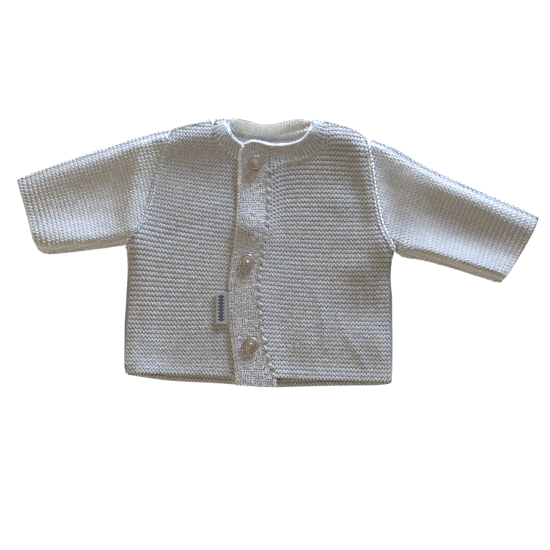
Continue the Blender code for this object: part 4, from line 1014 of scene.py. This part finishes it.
# %% [markdown]
# ## Buttons
# Each button is one moulded piece: a shank, a rounded rim, a shallow ring and a domed middle. On a lathe it
# would be one profile. Here a circle at the foot of the shank is extruded and scaled from ring to ring, which
# keeps clean loops of faces, and the last face is poked for the crown. All three come from one model.

# %% One button, from the foot of its shank to its crown
BUTTON_SIDES = 48
# Columns: radius, height above the seat.
BUTTON_RINGS = [
    (5.1, 0.02), (5.9, 0.22), (6.3, 0.62), (6.45, 1.15), (6.32, 1.6), (6.0, 1.98), (5.6, 2.12), (5.2, 2.02),
    (4.85, 1.84), (4.6, 1.8), (4.3, 1.92), (3.8, 2.14), (3.4, 2.2), (3.1, 2.12), (2.8, 2.12), (2.1, 2.38),
    (1.4, 2.44), (0.6, 2.46),
]
BUTTON_RADIUS = 6.45
SHANK_RADIUS = 1.2
CROWN = 2.47
TOP_ROOM = 0.8            # the moulded crown is flatter than the solid's, by this much


def model_button(shank):
    """A button that stands on its shank at the origin."""
    bpy.ops.object.select_all(action="DESELECT")
    bpy.ops.mesh.primitive_circle_add(vertices=BUTTON_SIDES, radius=SHANK_RADIUS * MM, fill_type="NGON")
    button = bpy.context.object
    bpy.ops.object.mode_set(mode="EDIT")
    bpy.ops.mesh.select_all(action="SELECT")
    radius, height = SHANK_RADIUS, 0.0
    for next_radius, above in [(SHANK_RADIUS, 0.0)] + BUTTON_RINGS:
        rise = shank + above - height
        bpy.ops.mesh.extrude_region_move(TRANSFORM_OT_translate={"value": (0.0, 0.0, rise * MM)})
        grow = next_radius / radius
        bpy.ops.transform.resize(value=(grow, grow, 1.0), center_override=(0.0, 0.0, 0.0))
        radius, height = next_radius, shank + above
    bpy.ops.mesh.poke(offset=(CROWN - BUTTON_RINGS[-1][1]) * MM)
    bpy.ops.mesh.select_all(action="SELECT")
    bpy.ops.mesh.normals_make_consistent(inside=False)
    bpy.ops.object.mode_set(mode="OBJECT")
    bpy.ops.object.shade_smooth_by_angle(angle=math.radians(60.0))
    return button


# %% [markdown]
# ## Pearly plastic
# The buttons are moulded in beige plastic that lets some light in, under a clear, hard skin. A strong coat
# gives the skin its glint and subsurface light gives the plastic its depth. A ramp over the distance from the
# button's middle paints shade into the grooves and on the rim's outer side, and is lightest in the middle.

# %% Pearl material
# Columns: share of the button's radius, colour.
# painted shade: the dark stops fall on the moulded grooves and on the rim's outer side
PEARL_SHADE_STOPS = [
    (0.0, (0.62, 0.54, 0.46)), (0.3, (0.5, 0.42, 0.34)), (0.46, (0.38, 0.31, 0.24)),
    (0.56, (0.52, 0.44, 0.36)), (0.72, (0.34, 0.27, 0.2)), (0.85, (0.5, 0.42, 0.34)),
    (0.94, (0.32, 0.25, 0.19)), (1.0, (0.3, 0.24, 0.18)),
]


def pearl():
    """Beige plastic with a clear coat, with painted shade in the grooves and on the rim's outer side,
    lightest in the middle.
    """
    material, tree, shader = start_material("pearl_plastic")
    ramp = tree.nodes.new("ShaderNodeValToRGB")
    feed(tree, ramp, {"Fac": read_mark(tree, "from_middle")})
    while len(ramp.color_ramp.elements) < len(PEARL_SHADE_STOPS):
        ramp.color_ramp.elements.new(0.5)
    for element, (position, colour) in zip(ramp.color_ramp.elements, PEARL_SHADE_STOPS):
        element.position, element.color = position, (*colour, 1.0)
    place = add_node(tree, "ShaderNodeTexCoord", {})["Object"]
    swirl = {"Vector": place, "Scale": 320.0, "Distortion": 2.5}
    lustre = add_node(tree, "ShaderNodeTexNoise", swirl)["Color"]
    feed(tree, shader, {
        "Roughness": 0.45, "Coat Weight": 1.0, "Coat Roughness": 0.08, "Subsurface Weight": 0.85,
        "Subsurface Radius": (1.0, 0.8, 0.6), "Subsurface Scale": 0.006,
        "Base Color": mix_colours(tree, 0.35, ramp.outputs["Color"], lustre, "MULTIPLY"),
    })
    return material


# %% Three copies, each on its own foot
FOOT = 0.1                # corners lower than this belong to the foot
lowest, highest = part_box("button_1")
button_model = model_button((highest.z - lowest.z) / MM - CROWN - TOP_ROOM)
radii = [math.hypot(v.co.x, v.co.y) / MM / BUTTON_RADIUS for v in button_model.data.vertices]
mark_points(button_model.data, "from_middle", radii)
button_model.data.materials.append(pearl())
for node in ("button_1", "button_2", "button_3"):
    button = add_object(f"{node}_pearl", button_model.data.copy())
    low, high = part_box(node)
    for corner in button.data.vertices:
        at_foot = corner.co.z < FOOT * MM
        corner.co += Vector((0.5 * (low.x + high.x), 0.5 * (low.y + high.y), high.z - highest.z + lowest.z))
        if at_foot:
            corner.co.z = low.z
    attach(button, "root")
    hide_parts(node)
    print(button.name, len(button.data.polygons), "faces, foot at", round(low.z / MM, 2), "mm")
bpy.data.objects.remove(button_model)

# %% [markdown]
# ## The woven tab
# The tab is a short piece of tape, folded once and caught in the seam beside the band. It is far too small
# and thin to simulate, so its two layers and the fold between them are laid out as one ribbon that follows
# the solid's upper and lower surface. Its weft shows as fine lines, with a plain column of diamonds.

# %% A folded ribbon
TAB_WALL = 0.4
TAB_COLUMNS = 12
TAB_CURL, CURLED = 0.35, 4.0      # how far the lower corner lifts, and how much of the tab does
TAB_RIPPLE, RIPPLE_TURN = 0.12, 0.55      # a low ripple along it
tab_low, tab_high = (np.array(corner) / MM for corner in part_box("label"))
tab_top, tab_under = HeightMap("label"), HeightMap("label", below=True)
flat_x = np.linspace(tab_high[0] - 0.1, tab_low[0] + 0.7, TAB_COLUMNS)
turns = np.linspace(0.0, np.pi, 9)[1:-1]
ribbon_rows = []
for y in np.linspace(tab_low[1] + 0.1, tab_high[1] - 0.1, 36):
    level = np.full(TAB_COLUMNS, y)
    curl = TAB_CURL * smooth((tab_low[1] + CURLED - y) / CURLED) + TAB_RIPPLE * math.sin(RIPPLE_TURN * y)
    lower = tab_under(flat_x, level)
    upper = tab_top(flat_x, level) + curl * np.linspace(0.2, 1.0, TAB_COLUMNS)
    upper = np.maximum(upper, lower + 3.0 * TAB_WALL)
    middle, half = 0.5 * (upper[-1] + lower[-1]), 0.5 * (upper[-1] - lower[-1])
    bend = [(flat_x[-1] - 0.6 * math.sin(turn), middle - half * math.cos(turn)) for turn in turns]
    profile = list(zip(flat_x, lower)) + bend + list(zip(flat_x[::-1], upper[::-1]))
    ribbon_rows.append([(x, y, z) for x, z in profile])
ribbon = Knit(np.arange(len(ribbon_rows)), ribbon_rows, np.array(ribbon_rows)[..., 0])
tab = cloth_shell("woven_tab", ribbon, ridged=False, wall=TAB_WALL)
spots = np.array([v.co for v in tab.data.vertices]) / MM
middle = 0.5 * (tab_top(spots[:, 0], spots[:, 1]) + tab_under(spots[:, 0], spots[:, 1]))
mark_points(tab.data, "upper_layer", spots[:, 2] > middle)

# %% Woven tape
DIAMOND_COLUMN = -47.4            # x of the column, in millimetres
DIAMOND_ROWS = (-59.6, -37.4)
DIAMOND = (3.3, 2.75)             # half width, and from one diamond to the next
DIAMOND_LINE = (0.22, 0.98)       # a diamond is dark between these shares of its size


def woven_tape():
    material, tree, shader = start_material("woven_tape")
    place = add_node(tree, "ShaderNodeTexCoord", {})["Object"]
    parts = add_node(tree, "ShaderNodeSeparateXYZ", {"Vector": place})
    x, y = parts["X"], parts["Y"]

    def step(operation, *values):
        return add_node(tree, "ShaderNodeMath", dict(enumerate(values)), operation=operation)[0]

    beside = step("DIVIDE", step("ABSOLUTE", step("SUBTRACT", x, DIAMOND_COLUMN * MM)), DIAMOND[0] * MM)
    turns = step("FRACT", step("DIVIDE", step("SUBTRACT", y, DIAMOND_ROWS[0] * MM), DIAMOND[1] * MM))
    reach = step("ADD", beside, step("MULTIPLY", step("ABSOLUTE", step("SUBTRACT", turns, 0.5)), 1.7))
    hollow, whole = DIAMOND_LINE
    figure = step("MULTIPLY", step("LESS_THAN", reach, whole), step("GREATER_THAN", reach, hollow))
    above, below = step("GREATER_THAN", y, DIAMOND_ROWS[0] * MM), step("LESS_THAN", y, DIAMOND_ROWS[1] * MM)
    figure = step("MULTIPLY", step("MULTIPLY", figure, step("MULTIPLY", above, below)),
                  read_mark(tree, "upper_layer"))
    weft = add_node(tree, "ShaderNodeTexWave", {"Vector": place, "Scale": 700.0, "Distortion": 1.5},
                    bands_direction="Y")["Fac"]
    ground = mix_colours(tree, weft, (0.36, 0.35, 0.37, 1.0), (0.46, 0.445, 0.465, 1.0))
    feed(tree, shader, {
        "Roughness": 0.55, "Sheen Weight": 0.3, "Normal": bumps(tree, weft, 0.4),
        "Base Color": mix_colours(tree, figure, ground, (0.03, 0.03, 0.07, 1.0)),
    })
    return material


finish_piece(tab, woven_tape(), "label")

# %% [markdown]
# ## How each piece was cut
# A sheet of cloth keeps its size, however it's laid. The rows of a knitted piece give that size: the length
# of its widest row, the way up across the rows, and the area between them. A sleeve counts all round.

# %% Flat sizes
def cut_of(knit):
    """Width, length and area of the flat piece, in metres, from its rows."""
    widths = np.linalg.norm(np.diff(knit.points, axis=1), axis=2).sum(1)
    along = unit(np.gradient(knit.points, axis=1))[:-1]
    rises = np.linalg.norm(np.cross(along, np.diff(knit.points, axis=0)), axis=2).mean(1)
    area = float((0.5 * (widths[1:] + widths[:-1]) * rises).sum())
    return float(widths.max()) * MM, float(rises.sum()) * MM, area * MM * MM


def strip_cut(tables):
    """The same for a strip, or for one in several parts, from the tables of its two edges."""
    length, area = 0.0, 0.0
    for table in tables:
        one, two, middles = strip_edges(table, 200)
        steps = np.linalg.norm(np.diff(middles, axis=0), axis=1)
        widths = np.linalg.norm(two - one, axis=1)
        length += steps.sum()
        area += (0.5 * (widths[1:] + widths[:-1]) * steps).sum()
    return area / length * MM, length * MM, area * MM * MM


def declare_sheet(cut):
    width, length, area = cut
    area = min(area, width * length)


declare_sheet(cut_of(back))
for node, knit in fronts.items():
    declare_sheet(cut_of(knit))
for node, knit in sleeves.items():
    declare_sheet(cut_of(knit))
neck_cut = strip_cut([NECK_RIGHT_FRONT, NECK_BACK, NECK_LEFT_FRONT])
declare_sheet(neck_cut)
declare_sheet(strip_cut([BUTTONHOLE_BAND]))
under_band = [row for row in BUTTONHOLE_BAND if 1 <= row[0] <= 16]
declare_sheet(strip_cut([under_band]))
declare_sheet(cut_of(ribbon))

# %% [markdown]
# ## Stage, light and camera
# A cool, low window light comes from the neck side and models every ridge. A warm, dimmer light from the hem
# side fills the slopes that face away from the window, and a small one above gives the buttons their glint.

# %% Stage
bpy.ops.object.select_all(action="DESELECT")
bpy.ops.mesh.primitive_plane_add(size=6.0, location=(0.0, 0.0, -0.0002))
floor = bpy.context.object
floor.name = "floor"
paper, tree, shader = start_material("white_paper")
feed(tree, shader, {"Base Color": (0.1, 0.1, 0.1, 1.0), "Roughness": 1.0,
                    "Emission Color": (1.0, 1.0, 1.0, 1.0), "Emission Strength": 1.0})
floor.data.materials.append(paper)

world = bpy.data.worlds.new("studio")
bpy.context.scene.world = world
world.use_nodes = True
background = world.node_tree.nodes["Background"]
feed(world.node_tree, background, {"Color": (1.0, 0.9, 0.78, 1.0), "Strength": 0.06})


def aim(thing, location, away):
    """Puts a lamp or a camera in its place, with its back to a direction."""
    thing.location = location
    thing.rotation_mode = "QUATERNION"
    thing.rotation_quaternion = (-away).to_track_quat("-Z", "Y")


def soft_light(name, azimuth, elevation, distance, size, power, colour):
    """A square lamp that faces the cardigan. Azimuth 0 is the hem side."""
    turn, lift = math.radians(azimuth), math.radians(elevation)
    away = Vector((math.sin(turn) * math.cos(lift), -math.cos(turn) * math.cos(lift), math.sin(lift)))
    data = bpy.data.lights.new(name, "AREA")
    data.size, data.energy, data.color = size, power, colour
    aim(add_object(name, data), away * distance, away)


soft_light("window", 157.0, 9.2, 1.6, 0.45, 66.0, (0.65, 0.77, 1.0))
soft_light("room", -40.0, 42.0, 1.5, 0.8, 8.2, (1.0, 0.82, 0.58))
soft_light("ceiling", 168.0, 84.0, 1.6, 0.2, 1.9, (1.0, 0.95, 0.9))

# %% [markdown]
# ## Camera
# The camera looks down on the cardigan from a little towards the hem, through a long lens, which keeps the
# edges of so flat a thing true. Its distance follows from how many millimetres one pixel should show.

# %% Camera
VIEW_PIXEL = 0.842        # millimetres of cardigan in one pixel of a 550 pixel view
VIEW_SIZE = 550
VIEW_MIDDLE = Vector((-2.3, -20.3, 5.0)) * MM
VIEW_ELEVATION = 84.0
LENS, SENSOR = 85.0, 36.0
distance = VIEW_PIXEL * VIEW_SIZE * MM * LENS / SENSOR
lift = math.radians(VIEW_ELEVATION)
back_off = Vector((0.0, -math.cos(lift), math.sin(lift)))
eye = add_object("camera", bpy.data.cameras.new("camera"))
eye.data.lens, eye.data.sensor_width = LENS, SENSOR
aim(eye, VIEW_MIDDLE + back_off * distance, back_off)
bpy.context.scene.camera = eye
bpy.context.scene.view_settings.view_transform = "Standard"
